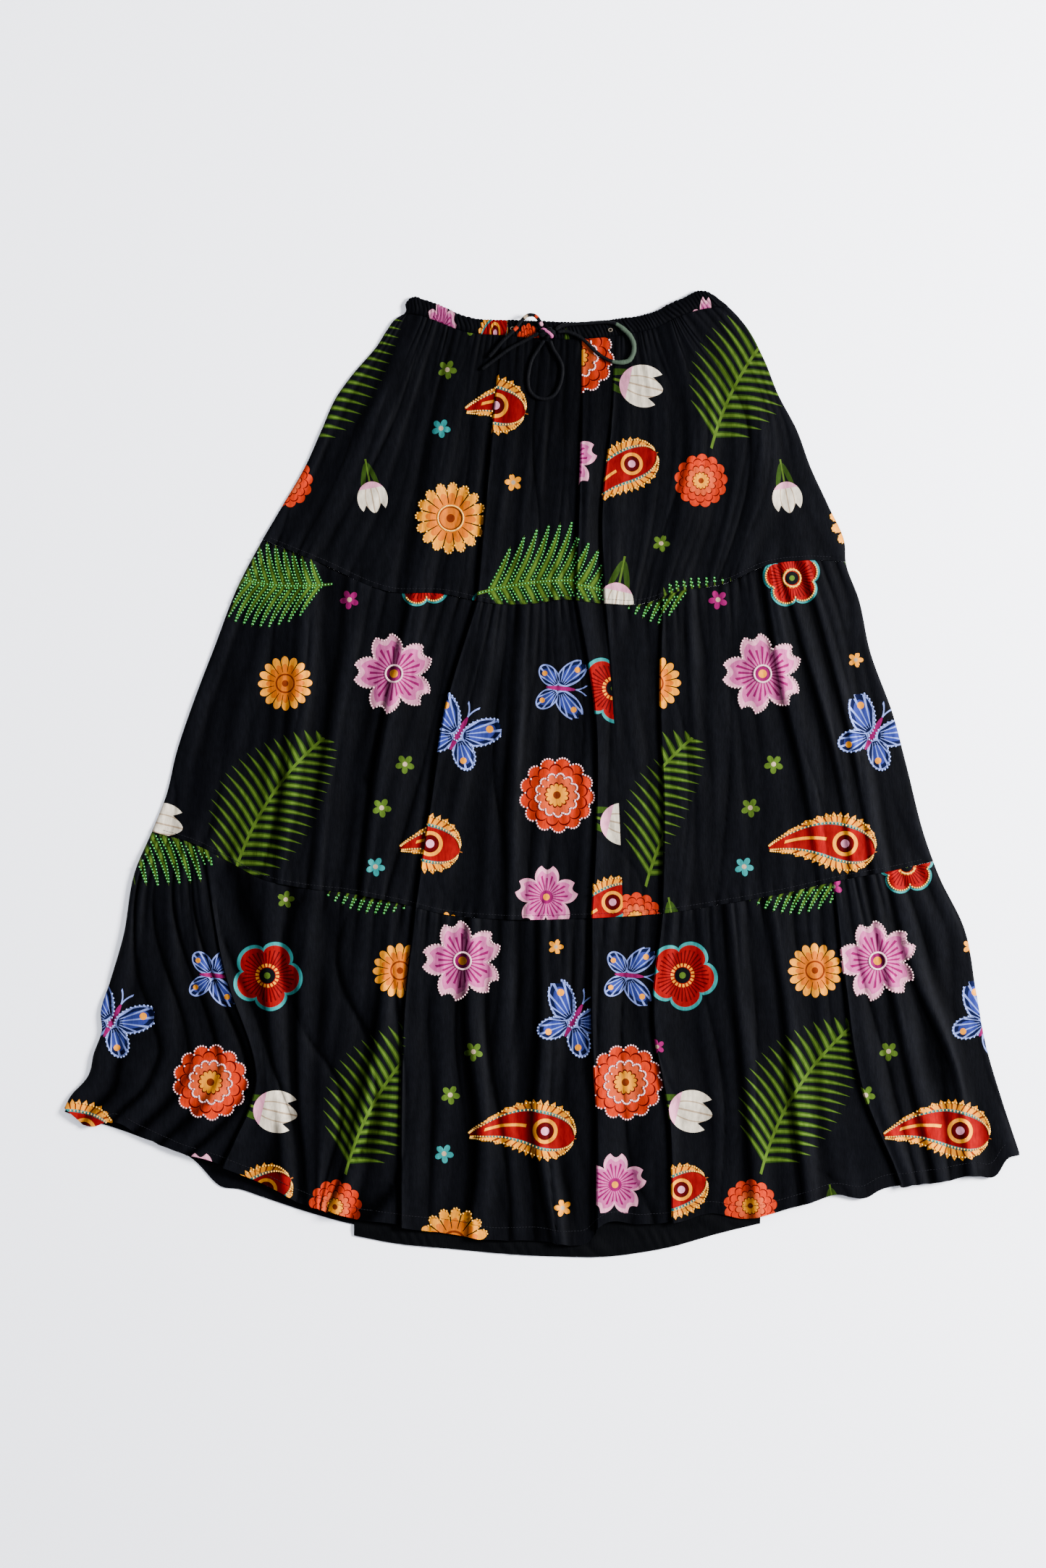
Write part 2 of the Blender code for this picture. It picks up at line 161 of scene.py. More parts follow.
# Edges across the skirt: a row for each point is x, then y, from the left side to the right
WAIST_TOP = (
    (-136, 467), (-133, 471), (-128, 474), (-119, 472), (-110, 469), (-95, 463), (-80, 456),
    (-68, 453), (-28, 451), (0, 450), (40, 449), (80, 453), (100, 456), (113, 460), (124, 466),
    (140, 473), (155, 480), (165, 479), (171, 476),
)
CASING_SEAM = (
    (-137, 458), (-126, 457), (-110, 452), (-95, 446), (-80, 440), (-42, 436), (-6, 433),
    (37, 432), (80, 436), (112, 443), (136, 454), (159, 462), (185, 465),
)
TIER_SEAM_1 = (
    (-278, 233), (-222, 210), (-152, 181), (-101, 179), (-49, 169), (-9, 169), (19, 173),
    (60, 169), (99, 169), (135, 181), (181, 189), (223, 207), (260, 212), (302, 211),
)
TIER_SEAM_2 = (
    (-388, -57), (-340, -72), (-310, -88), (-280, -104), (-245, -112), (-190, -119), (-136, -130),
    (-95, -140), (-50, -144), (51, -143), (123, -138), (181, -129), (231, -120), (303, -104),
    (346, -96), (387, -87),
)
FRONT_HEM = (
    (-475, -336), (-446, -353), (-431, -348), (-400, -361), (-364, -377), (-322, -390),
    (-276, -409), (-243, -425), (-194, -441), (-141, -449), (-90, -455), (-49, -462), (-6, -462),
    (30, -466), (44, -464), (57, -451), (100, -449), (126, -447), (166, -436), (201, -441),
    (253, -430), (292, -418), (323, -420), (335, -413), (366, -407), (392, -404), (432, -397),
    (453, -395), (461, -382), (475, -377),
)
BACK_HEM = (
    (-475, -336), (-400, -361), (-345, -385), (-320, -410), (-301, -413), (-280, -420),
    (-232, -436), (-187, -448), (-90, -451), (30, -458), (57, -446), (126, -441), (253, -424),
    (366, -401), (432, -391), (475, -377),
)
LINING_HEM = (
    (-187, -459), (-152, -466), (-94, -472), (-40, -477), (15, -480), (63, -480), (125, -471),
    (183, -455), (217, -447),
)

# Folds of each front tier, from left to right: name, x at the top, a third down, two thirds
# down and at the bottom, the width that it rises over and that it falls over, and its height
# at the top, middle and bottom. A rise up to 5 is a lapped pleat, a longer one is soft.
FOLDS = {
    "tier1": (
        ("far left", -120, -158, -196, -232, 14, 30, 1.0, 3.0, 1.5),
        ("left", -78, -99, -114, -129, 12, 30, 1.0, 3.0, 2.0),
        ("left lap", -39, -48, -56, -64, 4, 50, 0.6, 4.2, 4.8),
        ("centre lap", 41, 40, 37, 35, 4, 26, 0.6, 4.2, 4.8),
        ("strip lap", 74, 69, 60, 63, 4, 50, 0.6, 4.2, 4.6),
        ("right", 127, 152, 145, 123, 14, 30, 1.0, 3.0, 1.5),
        ("far right", 153, 210, 217, 192, 14, 30, 1.0, 3.0, 1.5),
    ),
    "tier2": (
        ("far left", -233, -238, -250, -257, 12, 28, 2.5, 3.5, 2.0),
        ("left", -183, -197, -212, -222, 12, 28, 1.0, 3.0, 2.0),
        ("left soft", -125, -147, -165, -176, 8, 40, 2.5, 4.0, 3.0),
        ("left lap", -64, -94, -110, -125, 4, 50, 4.8, 4.8, 4.8),
        ("middle", -15, -22, -28, -30, 12, 24, 2.0, 3.0, 2.0),
        ("centre lap", 35, 53, 55, 50, 4, 50, 4.8, 4.8, 4.8),
        ("strip lap", 63, 72, 78, 82, 4, 40, 4.6, 1.5, 0.5),
        ("right lap", 120, 118, 122, 120, 4, 45, 3.5, 4.5, 4.8),
        ("right short", 145, 150, 156, 162, 8, 16, 2.5, 1.0, 0.5),
        ("right slant", 222, 238, 262, 280, 6, 24, 2.5, 3.2, 1.0),
        ("far right slant", 238, 268, 296, 312, 6, 24, 2.0, 3.2, 1.5),
        ("edge slant", 262, 290, 314, 332, 6, 20, 1.5, 3.0, 1.5),
    ),
    "tier3": (
        ("flap lap", -335, -316, -283, -316, 5, 45, 2.0, 4.8, 4.8),
        ("left", -271, -271, -262, -251, 10, 24, 2.0, 3.0, 2.0),
        ("left middle", -228, -237, -238, -228, 10, 26, 2.0, 3.0, 2.0),
        ("left slant", -150, -157, -177, -204, 8, 20, 1.0, 3.8, 3.8),
        ("left lap", -125, -136, -139, -139, 4, 45, 4.8, 4.8, 4.8),
        ("middle left", -68, -71, -60, -68, 8, 26, 3.0, 4.0, 3.0),
        ("middle", 1, 2, -3, 15, 8, 26, 2.0, 4.0, 3.0),
        ("centre lap", 50, 50, 55, 55, 4, 45, 4.8, 5.2, 5.0),
        ("right lap", 120, 111, 127, 130, 4, 45, 4.8, 5.0, 5.0),
        ("right soft", 188, 197, 207, 215, 8, 26, 2.0, 3.2, 2.5),
        ("right middle", 228, 243, 253, 266, 8, 26, 2.0, 3.5, 3.0),
        ("big right lap", 290, 302, 318, 358, 4, 45, 3.0, 5.2, 5.2),
        ("far right", 325, 348, 370, 395, 8, 24, 2.0, 3.5, 2.5),
        ("edge right", 346, 372, 413, 428, 8, 24, 1.0, 3.5, 3.0),
    ),
}
LAP = 5
LAP_RISE = 1.6
LAP_HIDDEN = 46.0
# Closer columns of points, in millimetres: from and to beside a lap with their step, and inwards
# from a side
LAP_COLUMNS = (-4.0, 2.4, 0.8)
SIDE_COLUMNS = (0.15, 0.5, 1.0, 2.0, 3.2, 5.0)
TIER_EDGES = {
    "tier1": (CASING_SEAM, TIER_SEAM_1),
    "tier2": (TIER_SEAM_1, TIER_SEAM_2),
    "tier3": (TIER_SEAM_2, FRONT_HEM),
}
CASING_EDGES = (WAIST_TOP, CASING_SEAM)
CASING_FULLNESS = 2.1
# Painted shade that darkens the casing's crepe as a whole
CASING_PAINTED_SHADE = 0.72
CASING_ROWS = 15
# Height of the casing's puff and of the ribs on it, front and back
CASING_FRONT = (2.3, 1.5)
CASING_BACK = (1.2, 0.6)
EYELETS = ((67.7, 440.6), (-29.5, 442.0))
EYELET_RADII = (1.9, 1.5)
EYELET_STITCHES = 16

# The plain backs: their rounded edge, and the ripple below a seam
BACK_ROUND = 3.0
BACK_RIPPLE = 0.25
BACK_WAVES = 30
# Least height of the lower side of the front cloth
LEAST_UNDER = 0.25

# The underskirt: the spacing of its points across, where it falls past the back hem and how far, its
# ripples, the creases of the stretch that shows and its turned hem
LINING_STEP = 2.0
LINING_FALL = 14.0
LINING_DROP = 0.85
LINING_WAVES = 17
LINING_CREASES = 31
LINING_CRUSH = 1.1
LINING_TURN = 11.0
LINING_BAND = 0.3

# Stitches of the topstitching, the height of each line above the edge, and the thread's radius
# in metres
STITCH = 2.4
STITCH_GAP = 0.7
STITCH_LINES = (("tier1", 4.2), ("tier2", 4.2), ("tier3", 12.0))
THREAD_RADIUS = 0.00022

# Routes of the tie cord: x, y and z of given points
TIE_ROUTES = {
    "tie_loop_right": (
        (13, 440, 10.4), (19, 444, 9.4), (30, 446, 8.9), (45, 447, 8.6), (57, 448, 8.6),
        (67, 448, 8.5), (74, 446, 8.7), (81, 441, 8.9), (87, 435, 9.0), (91, 426, 9.1),
        (90, 416, 9.1), (86, 410, 9.5), (79, 408, 9.9), (70, 409, 9.5), (61, 413, 8.8),
        (52, 420, 8.8), (45, 427, 9.1), (38, 433, 8.9), (30, 437, 9.1), (22, 439, 9.3),
        (15, 438, 10.2),
    ),
    "tie_loop_middle": (
        (2, 430, 10.2), (-4, 421, 8.9), (-10, 411, 8.5), (-13, 400, 8.6), (-14, 390, 8.6),
        (-12, 380, 8.4), (-6, 374, 8.3), (2, 372, 8.2), (11, 375, 8.1), (17, 384, 8.2),
        (20, 395, 8.3), (20, 405, 8.3), (16, 414, 8.4), (11, 422, 8.8), (8, 430, 10.0),
    ),
    "tie_end_upper": (
        (0, 444, 10.6), (-3, 450, 9.4), (-8, 455, 8.4), (-14, 455, 8.2), (-20, 450, 8.5),
        (-25, 443, 9.2), (-33, 435, 9.2), (-40, 428, 9.7), (-46, 421, 9.2), (-53, 413, 8.8),
    ),
    "tie_end_lower": (
        (-3, 437, 10.3), (-11, 433, 9.6), (-20, 428, 9.5), (-28, 424, 9.5), (-36, 419, 9.8),
        (-44, 413, 9.4), (-52, 407, 8.9), (-60, 401, 8.7),
    ),
}
LOOPS = ("tie_loop_right", "tie_loop_middle")
CORD_STEP = 0.0011
TUBE_SIDES = 14

# Where the print shows on the tie cord: stretch, from and to as shares of its length, colour
ARC_STRETCH = (0.33, 0.66)
ARC_SPREAD = 0.3
TIE_PRINT = (
    ("tie_loop_right", *ARC_STRETCH, "sage"),
    ("tie_end_upper", 0.0, 0.05, "pale_pink"), ("tie_end_upper", 0.12, 0.17, "orange"),
    ("tie_end_upper", 0.27, 0.32, "cream"), ("tie_end_upper", 0.46, 0.52, "orange"),
    ("bow_knot", 0.05, 0.2, "pink"),
)
# Turns of the knot, each upright round the others: lean, shift to its side, share of the height
KNOT_RINGS = 40
KNOT_TURNS = ((0.75, 0.0, 1.0), (1.5, 0.25, 0.82), (1.7, -0.25, 0.74), (-0.25, 0.2, 0.66))
KNOT_TWIST = 0.2

# The printed repeat: motif, its radius, the room that it takes, whether it is beaded
FERN, DAISY, POPPY, ZINNIA, BLOSSOM, BUTTERFLY, TULIP, PAISLEY, FLORET = range(1, 10)
REPEAT = np.array((550.0, 475.0))
PRINT_SEED = 7
PRINT_TRIES = 400
PRINT_ROWS = (
    (FERN, 100, 80, True), (FERN, 88, 68, False), (FERN, 76, 58, True),
    (ZINNIA, 38, 42, True), (BLOSSOM, 42, 42, True), (PAISLEY, 52, 41, True),
    (POPPY, 36, 38, False), (PAISLEY, 46, 37, True), (DAISY, 35, 38, True),
    (BUTTERFLY, 40, 36, True), (BLOSSOM, 33, 33, False), (DAISY, 27, 30, False),
    (BUTTERFLY, 32, 30, False), (TULIP, 42, 30, False), (POPPY, 30, 31, True),
    (TULIP, 36, 28, False), (ZINNIA, 27, 29, False), (TULIP, 30, 25, False),
    (FLORET, 10, 14, False), (FLORET, 9, 14, False), (FLORET, 10, 14, False),
    (FLORET, 8, 13, False), (FLORET, 10, 14, False), (FLORET, 9, 13, False),
    (FLORET, 10, 13, False), (FLORET, 8, 13, False), (FLORET, 9, 13, False),
)
# Width of each motif as a share of its length
ASPECT = {FERN: 0.72, TULIP: 0.6, PAISLEY: 0.8}
REACH = 1.06
# How far each piece of cloth is moved on the repeat before it is cut
CUTS = {
    "waistband_front": (40, 120), "waistband_back": (310, 60),
    "tier1_front": (265, 250), "tier2_front": (330, 210), "tier3_front": (170, 20),
    "tier1_back": (240, 330), "tier2_back": (60, 130), "tier3_back": (420, 270),
}

FERN_BEND = 0.16
FERN_LEAVES = 9
FERN_SLANT = 0.6
FERN_CURL = 0.35
FERN_WIDTH = 0.56
FERN_FILL = 0.74
# Outline of each round flower: its petals, their roundness, how far they stand out and from where
FLOWERS = {
    DAISY: (16, 0.5, 0.3, 0.7), POPPY: (5, 0.6, 0.24, 0.74), ZINNIA: (13, 0.5, 0.18, 0.8),
    BLOSSOM: (5, 0.7, 0.42, 0.56), FLORET: (5, 0.8, 0.6, 0.36),
}
POPPY_BORDER = 0.1
# Where the notch of a blossom's petal starts and how deep it goes, then the zinnia's inner beads
BLOSSOM_NOTCH = (0.9, 1.6)
ZINNIA_INNER = (0.14, 0.43)
# Middle, radii and turn of the ovals of the butterfly and the tulip
UPPER_WING = ((0.34, 0.5), (0.56, 0.32), 0.75)
LOWER_WING = ((-0.36, 0.36), (0.4, 0.27), -0.8)
WING_SPOTS = (((0.5, 0.62), (0.09, 0.09)), ((-0.5, 0.42), (0.08, 0.08)))
FEELER = ((0.62, 0.13), (0.3, 0.11), 0.4)
BODY = ((0.04, 0.0), (0.46, 0.07))
TULIP_CUP = ((0.34, 0.0), (0.56, 0.5))
TULIP_PETAL = ((0.36, 0.0), (0.56, 0.24))
TULIP_BLADE = ((-0.42, 0.16), (0.44, 0.08), 0.28)

# The Principled inputs that the materials set, by the short names used here
SURFACE_INPUTS = {
    "roughness": "Roughness", "specular": "Specular IOR Level", "sheen": "Sheen Weight",
    "sheen_roughness": "Sheen Roughness", "sheen_tint": "Sheen Tint", "colour": "Base Color",
}
# Fine and coarse crinkles of the crepe: fineness across and along the cloth, and share
CRINKLES = ((1100.0, 240.0, 1.0), (420.0, 80.0, 1.6))
CRINKLE_DEPTH = 0.0005
CREPE_CRINKLE = 0.34
CREPE_GLOSS = 0.01
# Brushed streaks and soft blotches of the crepe's tone: fineness across and along, and depth
BRUSHED_TONES = ((240.0, 110.0, 0.9), (34.0, 13.0, 0.8))
# Fineness of the noise by which the beads differ in tone, and their colours
BEAD_VARIETY = 420.0
BEAD_COLOURS = {
    "green": (0.005, 0.15, 0.014), "gold": (0.42, 0.19, 0.01),
    "pale": (0.45, 0.27, 0.29), "sky": (0.14, 0.19, 0.42),
}

# The stage, in metres: camera, floor and lights. A light has its place, the point that it faces,
# its size, its power and its tint
CAMERA_PLACE = (-0.019, -0.010, 3.033)
LENS = 70.0
FLOOR_SIZE = 12.0
FLOOR_DEPTH = 0.0003
FLOOR_COLOUR = (0.885, 0.9, 0.975, 1.0)
LIGHTS = {
    "key": ((2.6, 0.6, 1.95), (0.1, 0.0, 0.0), 0.95, 690.0, (1.0, 0.99, 0.98)),
    "fill": ((-1.8, 1.4, 2.6), (0.0, 0.0, 0.0), 2.4, 60.0, (0.92, 0.95, 1.0)),
}
ROOM_COLOUR = (0.93, 0.95, 1.0, 1.0)


def smooth_step(value):
    """0 below 0, 1 above 1 and a soft rise between."""
    value = np.clip(value, 0.0, 1.0)
    return value * value * (3.0 - 2.0 * value)


def read_curve(rows, at):
    """The second column of a table at values of its first, on a smooth line through its rows."""
    xs, ys = np.array(sorted(rows), float).T
    slopes = np.gradient(ys, xs)
    at = np.clip(at, xs[0], xs[-1])
    low = np.clip(np.searchsorted(xs, at) - 1, 0, len(xs) - 2)
    span = xs[low + 1] - xs[low]
    part = (at - xs[low]) / span
    rest = 1.0 - part
    return (
        (1.0 + 2.0 * part) * rest**2 * ys[low]
        + part * rest**2 * span * slopes[low]
        + part**2 * (3.0 - 2.0 * part) * ys[low + 1]
        - part**2 * rest * span * slopes[low + 1]
    )


def is_lap(fold):
    return fold[5] <= LAP


def fold_rise(fold):
    return LAP_RISE if is_lap(fold) else fold[5]


def fold_x(fold, down):
    """Where a fold's crest is at a fraction of the way down its tier."""
    return read_curve(tuple(zip((0.0, 1 / 3, 2 / 3, 1.0), fold[1:5])), down)


def side_x(edges, down):
    """The x of the left and right side of a piece at a fraction of the way down it."""
    top, bottom = edges
    left_y = top[0][1] + (bottom[0][1] - top[0][1]) * down
    right_y = top[-1][1] + (bottom[-1][1] - top[-1][1]) * down
    return read_curve(LEFT_SIDE, left_y), read_curve(RIGHT_SIDE, right_y)


def fold_knots(edges, folds, down):
    """Fractions across a piece of its sides and of its folds' feet and crests."""
    left, right = side_x(edges, down)
    lines = [np.zeros_like(down)]
    for fold in folds:
        crest = fold_x(fold, down)
        lines.append((crest - fold_rise(fold) - left) / (right - left))
        lines.append((crest - left) / (right - left))
    lines.append(np.ones_like(down))
    return lines


def follow(at, knots, values):
    """Piecewise-linear reading of values at knots, where each point has its own knots."""
    total = np.zeros(np.broadcast(at, knots[0], values[0]).shape) + values[0]
    for here, after, low, high in zip(knots, knots[1:], values, values[1:]):
        total = total + np.clip((at - here) / (after - here), 0.0, 1.0) * (high - low)
    return total


def edge_y(edges, across):
    """The y of a piece's top and bottom edge at a fraction of the way across it."""
    return [
        read_curve(edge, edge[0][0] + across * (edge[-1][0] - edge[0][0])) for edge in edges
    ]


def plan_points(edges, folds, lane, down):
    """x and y of points given by their lane, which follows the folds, and how far down they are."""
    middle = fold_knots(edges, folds, np.array(0.5))
    across = follow(lane, middle, fold_knots(edges, folds, down))
    left, right = side_x(edges, down)
    top_y, bottom_y = edge_y(edges, across)
    top_y = top_y - SEAM_GAP / 2 * (edges[0] is not WAIST_TOP)
    bottom_y = bottom_y + SEAM_GAP / 2 * (edges[1] not in (FRONT_HEM, BACK_HEM))
    return left + across * (right - left), top_y + (bottom_y - top_y) * down


def find_points(edges, folds, x, y):
    """The lane and the way down of plan points, and which of them are on the piece."""
    down = np.full_like(x, 0.5)
    for _ in range(12):
        left, right = side_x(edges, np.clip(down, 0.0, 1.0))
        across = (x - left) / (right - left)
        top_y, bottom_y = edge_y(edges, np.clip(across, 0.0, 1.0))
        down = (y - top_y) / (bottom_y - top_y)
    inside = (across > 0.004) & (across < 0.996) & (down > 0.01) & (down < 0.99)
    down = np.clip(down, 0.0, 1.0)
    middle = fold_knots(edges, folds, np.array(0.5))
    return follow(across, fold_knots(edges, folds, down), middle), down, inside


def rounded_waves(count, lane, bend=0.0):
    """Crests from 0 to 1 across a piece."""
    return 0.5 - 0.5 * np.cos(2.0 * np.pi * (count * lane + bend))


def gathered_waves(count, lane, bend=0.0, fullness=0.75):
    """Full crests from 0 to 1 with narrow valleys between them."""
    return np.abs(np.sin(np.pi * (count * lane + bend))) ** fullness


def sway(name, lane, down):
    """Slow waves over a piece, added up."""
    return sum(
        size * np.sin(along * down + across * lane + start)
        for size, across, along, start in SWAYS[name]
    )


def patches(paces, lane, down):
    """Shares from 0 to 1 that come and go over a piece, by the paces of two waves."""
    (across, along), (other_across, other_along) = paces
    waves = np.sin(across * lane + along * down) * np.cos(other_across * lane + other_along * down)
    return smooth_step(0.5 + waves)


def seam_gathers(tier, lane, down):
    """Height of the small gathers that run down from a tier's upper seam."""
    count = TIER_WAVES[tier]
    first, second, third = (lane * count * pace for pace in SPREAD_PACES)
    uneven = 1.0 - HEIGHT_SPREAD + HEIGHT_SPREAD * np.sin(first) * np.cos(second)
    reach = GATHER_REACH[tier] * (1.0 + REACH_SPREAD * np.sin(third))
    wander = sway("gathers", lane, down)
    main = gathered_waves(count, lane, wander) * uneven * (1.0 - smooth_step(down / reach))
    bend = sway("fine gathers", lane, down) - wander
    fine = gathered_waves(count * FINE_GATHERS, lane, bend)
    fine = fine * (0.6 + sway("fine height", lane, down))
    fine = fine * (1.0 - smooth_step(down / (FINE_SHARE * reach)))
    return GATHER_HEIGHT[tier] * (main + FINE_SHARE * fine)


def loose_folds(tier, lane, down):
    """Height of the loose folds that the gathers run into."""
    swept = smooth_step((SWEPT_LANE - lane) / 0.12) * (tier == "tier3")
    drift = sway("loose folds", lane, down) + down * sway("loose twist", lane, down)
    drift = drift + swept * sway("swept folds", lane, down)
    loose = gathered_waves(TIER_WAVES[tier] * LOOSE_FOLDS[tier], lane, drift, LOOSE_FULLNESS)
    tall = LOOSE_LEAST + (1.0 - LOOSE_LEAST) * patches(LOOSE_PATCHES, lane, down)
    tall = tall * (1.0 - RIGHT_FLATTER * smooth_step((lane - 0.5) / 0.2)) + SWEPT_EXTRA * swept
    return LOOSE_HEIGHT[tier] * loose * tall * (0.35 + 0.65 * smooth_step(down / 0.3))


def gathers(tier, lane, down):
    """Height of the gathers, loose folds, thin creases and puckers of a tier."""
    count = TIER_WAVES[tier]
    thin = gathered_waves(count * THIN_CREASES, lane, sway("thin creases", lane, down))
    thin = thin * patches(THIN_PATCHES, lane, down) * smooth_step(down / 0.2)
    total = seam_gathers(tier, lane, down) + loose_folds(tier, lane, down) + THIN_HEIGHT * thin
    if tier != "tier3":
        pucker = gathered_waves(count * PUCKERS, lane, sway("puckers", lane, down))
        total = total + PUCKER_HEIGHT * pucker * smooth_step((down - 0.93) / 0.07)
    return total


def rumples(x, y):
    """Soft dents in every direction, from cloth that was smoothed down by hand."""
    (side, side_length), (drift, drift_length) = RUMPLE_BEND
    bent = x + side * np.sin(y / side_length) + drift * np.sin(x / drift_length)
    return sum(
        height * (np.sin(bent / a + y / b) * np.sin(x / c + y / d))
        for height, (a, b), (c, d) in RUMPLES
    )


def fold_field(edges, folds, x, down):
    """Height that the folds and the cloth under them add."""
    left, right = side_x(edges, down)
    total = np.zeros_like(x)
    for fold in folds:
        past = x - fold_x(fold, down)
        rise = smooth_step(1.0 + past / fold_rise(fold))
        fall = smooth_step(1.0 - past / fold[6])
        height = np.interp(down, (0.0, 0.5, 1.0), fold[7:10])
        height = height * (1.0 if is_lap(fold) else SOFT_GAIN)
        total = total + (height * np.where(past < 0.0, rise, fall)) ** 3
    side = smooth_step(np.minimum(x - left, right - x) / LIFT_WIDTH)
    return side * (INSIDE_LIFT + np.cbrt(total))


def tier_height(tier, x, lane, down):
    """The top of a front tier's cloth."""
    edges = TIER_EDGES[tier]
    height = BACK_WALL + SEAM_GAP + fold_field(edges, FOLDS[tier], x, down)
    height = height + FRONT_WALL - CREST_SINK + gathers(tier, lane, down)
    loose = rumples(x, lane * RUMPLE_SPAN - down * RUMPLE_SPAN)
    if tier == "tier1":
        beside = smooth_step((BOW_REACH - abs(x)) / 20.0)
        under = smooth_step((BOW_DEPTH - down) / 0.1) * beside
        height = height + BOW_LIFT * under
        loose = loose * (1.0 - BOW_SMOOTHING * under)
    height = height + loose
    left, right = side_x(edges, down)
    inward = np.clip(np.minimum(x - left, right - x) / EDGE_ROUND, 0.0, 1.0)
    return EDGE_HEIGHT + (height - EDGE_HEIGHT) * np.sqrt(1.0 - (1.0 - inward) ** 2)


def laps_left_of(folds, x, down):
    """How many lapped pleats lie to the left of each point."""
    count = np.zeros(x.shape, int)
    for fold in folds:
        if is_lap(fold):
            count += x > fold_x(fold, down) - LAP_RISE
    return count


def lane_columns(edges, folds, count):
    """Evenly spaced lanes, closer together at the laps and the sides."""
    middle = np.array([float(k) for k in fold_knots(edges, folds, np.array(0.5))])
    left, right = side_x(edges, 0.5)
    width = right - left
    lanes = set(np.linspace(0.0, 1.0, count + 1))
    for crest in (middle[2 * k + 2] for k, fold in enumerate(folds) if is_lap(fold)):
        near = crest + np.arange(*LAP_COLUMNS) / width
        lanes = {lane for lane in lanes if not near[0] < lane < near[-1]} | set(near)
    lanes = np.array(sorted(lane for lane in lanes if 0.0 <= lane <= 1.0))
    rounding = np.array(SIDE_COLUMNS) / width
    lanes = lanes[(lanes > rounding[-1] * 1.2) & (lanes < 1.0 - rounding[-1] * 1.2)]
    return np.concatenate([[0.0], rounding, lanes, 1.0 - rounding[::-1], [1.0]])


def new_mesh(name, points, faces):
    """A smooth-shaded object from points, in metres, and faces of any size."""
    mesh = bpy.data.meshes.new(name)
    mesh.from_pydata(np.asarray(points).tolist(), [], faces)
    mesh.shade_smooth()
    thing = bpy.data.objects.new(name, mesh)
    bpy.context.scene.collection.objects.link(thing)
    return thing


def cloth_sheet(name, x, y, top, under):
    """A closed thin sheet. Its faces are the top ones, then as many lower ones, then the rim."""
    rows, columns = x.shape
    count = rows * columns
    points = np.concatenate(
        [np.stack([x, y, z], axis=-1).reshape(-1, 3) for z in (top, under)]
    )
    index = np.arange(count).reshape(rows, columns)
    a, b, c, d = index[:-1, :-1], index[1:, :-1], index[1:, 1:], index[:-1, 1:]
    upper = np.stack([a, b, c, d], axis=-1).reshape(-1, 4)
    lower = np.stack([a, d, c, b], axis=-1).reshape(-1, 4) + count
    ring = np.concatenate(
        [index[0], index[1:, -1], index[-1, -2::-1], index[-2:0:-1, 0]]
    )
    after = np.roll(ring, -1)
    rim = np.stack([ring + count, ring, after, after + count], axis=-1)
    sheet = new_mesh(name, points * MM, np.concatenate([upper, lower, rim]).tolist())
    sheet.data.set_sharp_from_angle(angle=1.2)
    return sheet, len(upper)


def hollow_shade(top):
    """How light each point looks: the crests catch the light and the hollows lose it."""
    kernel = np.hanning(2 * HOLLOW_REACH + 3)[1:-1]
    kernel /= kernel.sum()
    padded = np.pad(top, ((0, 0), (HOLLOW_REACH, HOLLOW_REACH)), mode="edge")
    around = np.stack([np.convolve(row, kernel, mode="valid") for row in padded])
    return np.clip(1.0 + HOLLOW_SHADE * (top - around), *SHADE_RANGE)


def turn_back(x, y, angle):
    """Points turned by minus an angle."""
    cos, sin = np.cos(angle), np.sin(angle)
    return x * cos + y * sin, y * cos - x * sin


def print_places():
    """Where each motif lies in the repeat: the roomiest of many seeded tries."""
    draw = np.random.default_rng(PRINT_SEED)
    placed = []
    for kind, radius, room, beaded in PRINT_ROWS:
        tries = draw.random((PRINT_TRIES, 2)) * REPEAT
        space = np.full(PRINT_TRIES, np.inf)
        for other in placed:
            apart = (tries - other["at"] + REPEAT / 2) % REPEAT - REPEAT / 2
            space = np.minimum(space, np.hypot(*apart.T) - other["room"] - room)
        best = tries[np.argmax(space)]
        angle = draw.random() * 2.0 * np.pi
        placed.append(
            {"kind": kind, "at": best, "radius": radius, "room": room, "angle": angle,
             "beaded": beaded, "tint": draw.random()}
        )
    return placed


PLACES = print_places()


def motif_at(spots):
    """For points of the cloth, the number of the motif that owns each, or -1, and its middle."""
    nearest = np.full(len(spots), REACH)
    owner = np.full(len(spots), -1)
    middle = np.zeros_like(spots)
    for number, motif in enumerate(PLACES):
        apart = (spots - motif["at"] + REPEAT / 2) % REPEAT - REPEAT / 2
        p, q = turn_back(*apart.T, motif["angle"])
        away = np.hypot(p, q / ASPECT.get(motif["kind"], 1.0)) / motif["radius"]
        won = away < nearest
        nearest[won] = away[won]
        owner[won] = number
        middle[won] = spots[won] - apart[won]
    return owner, middle


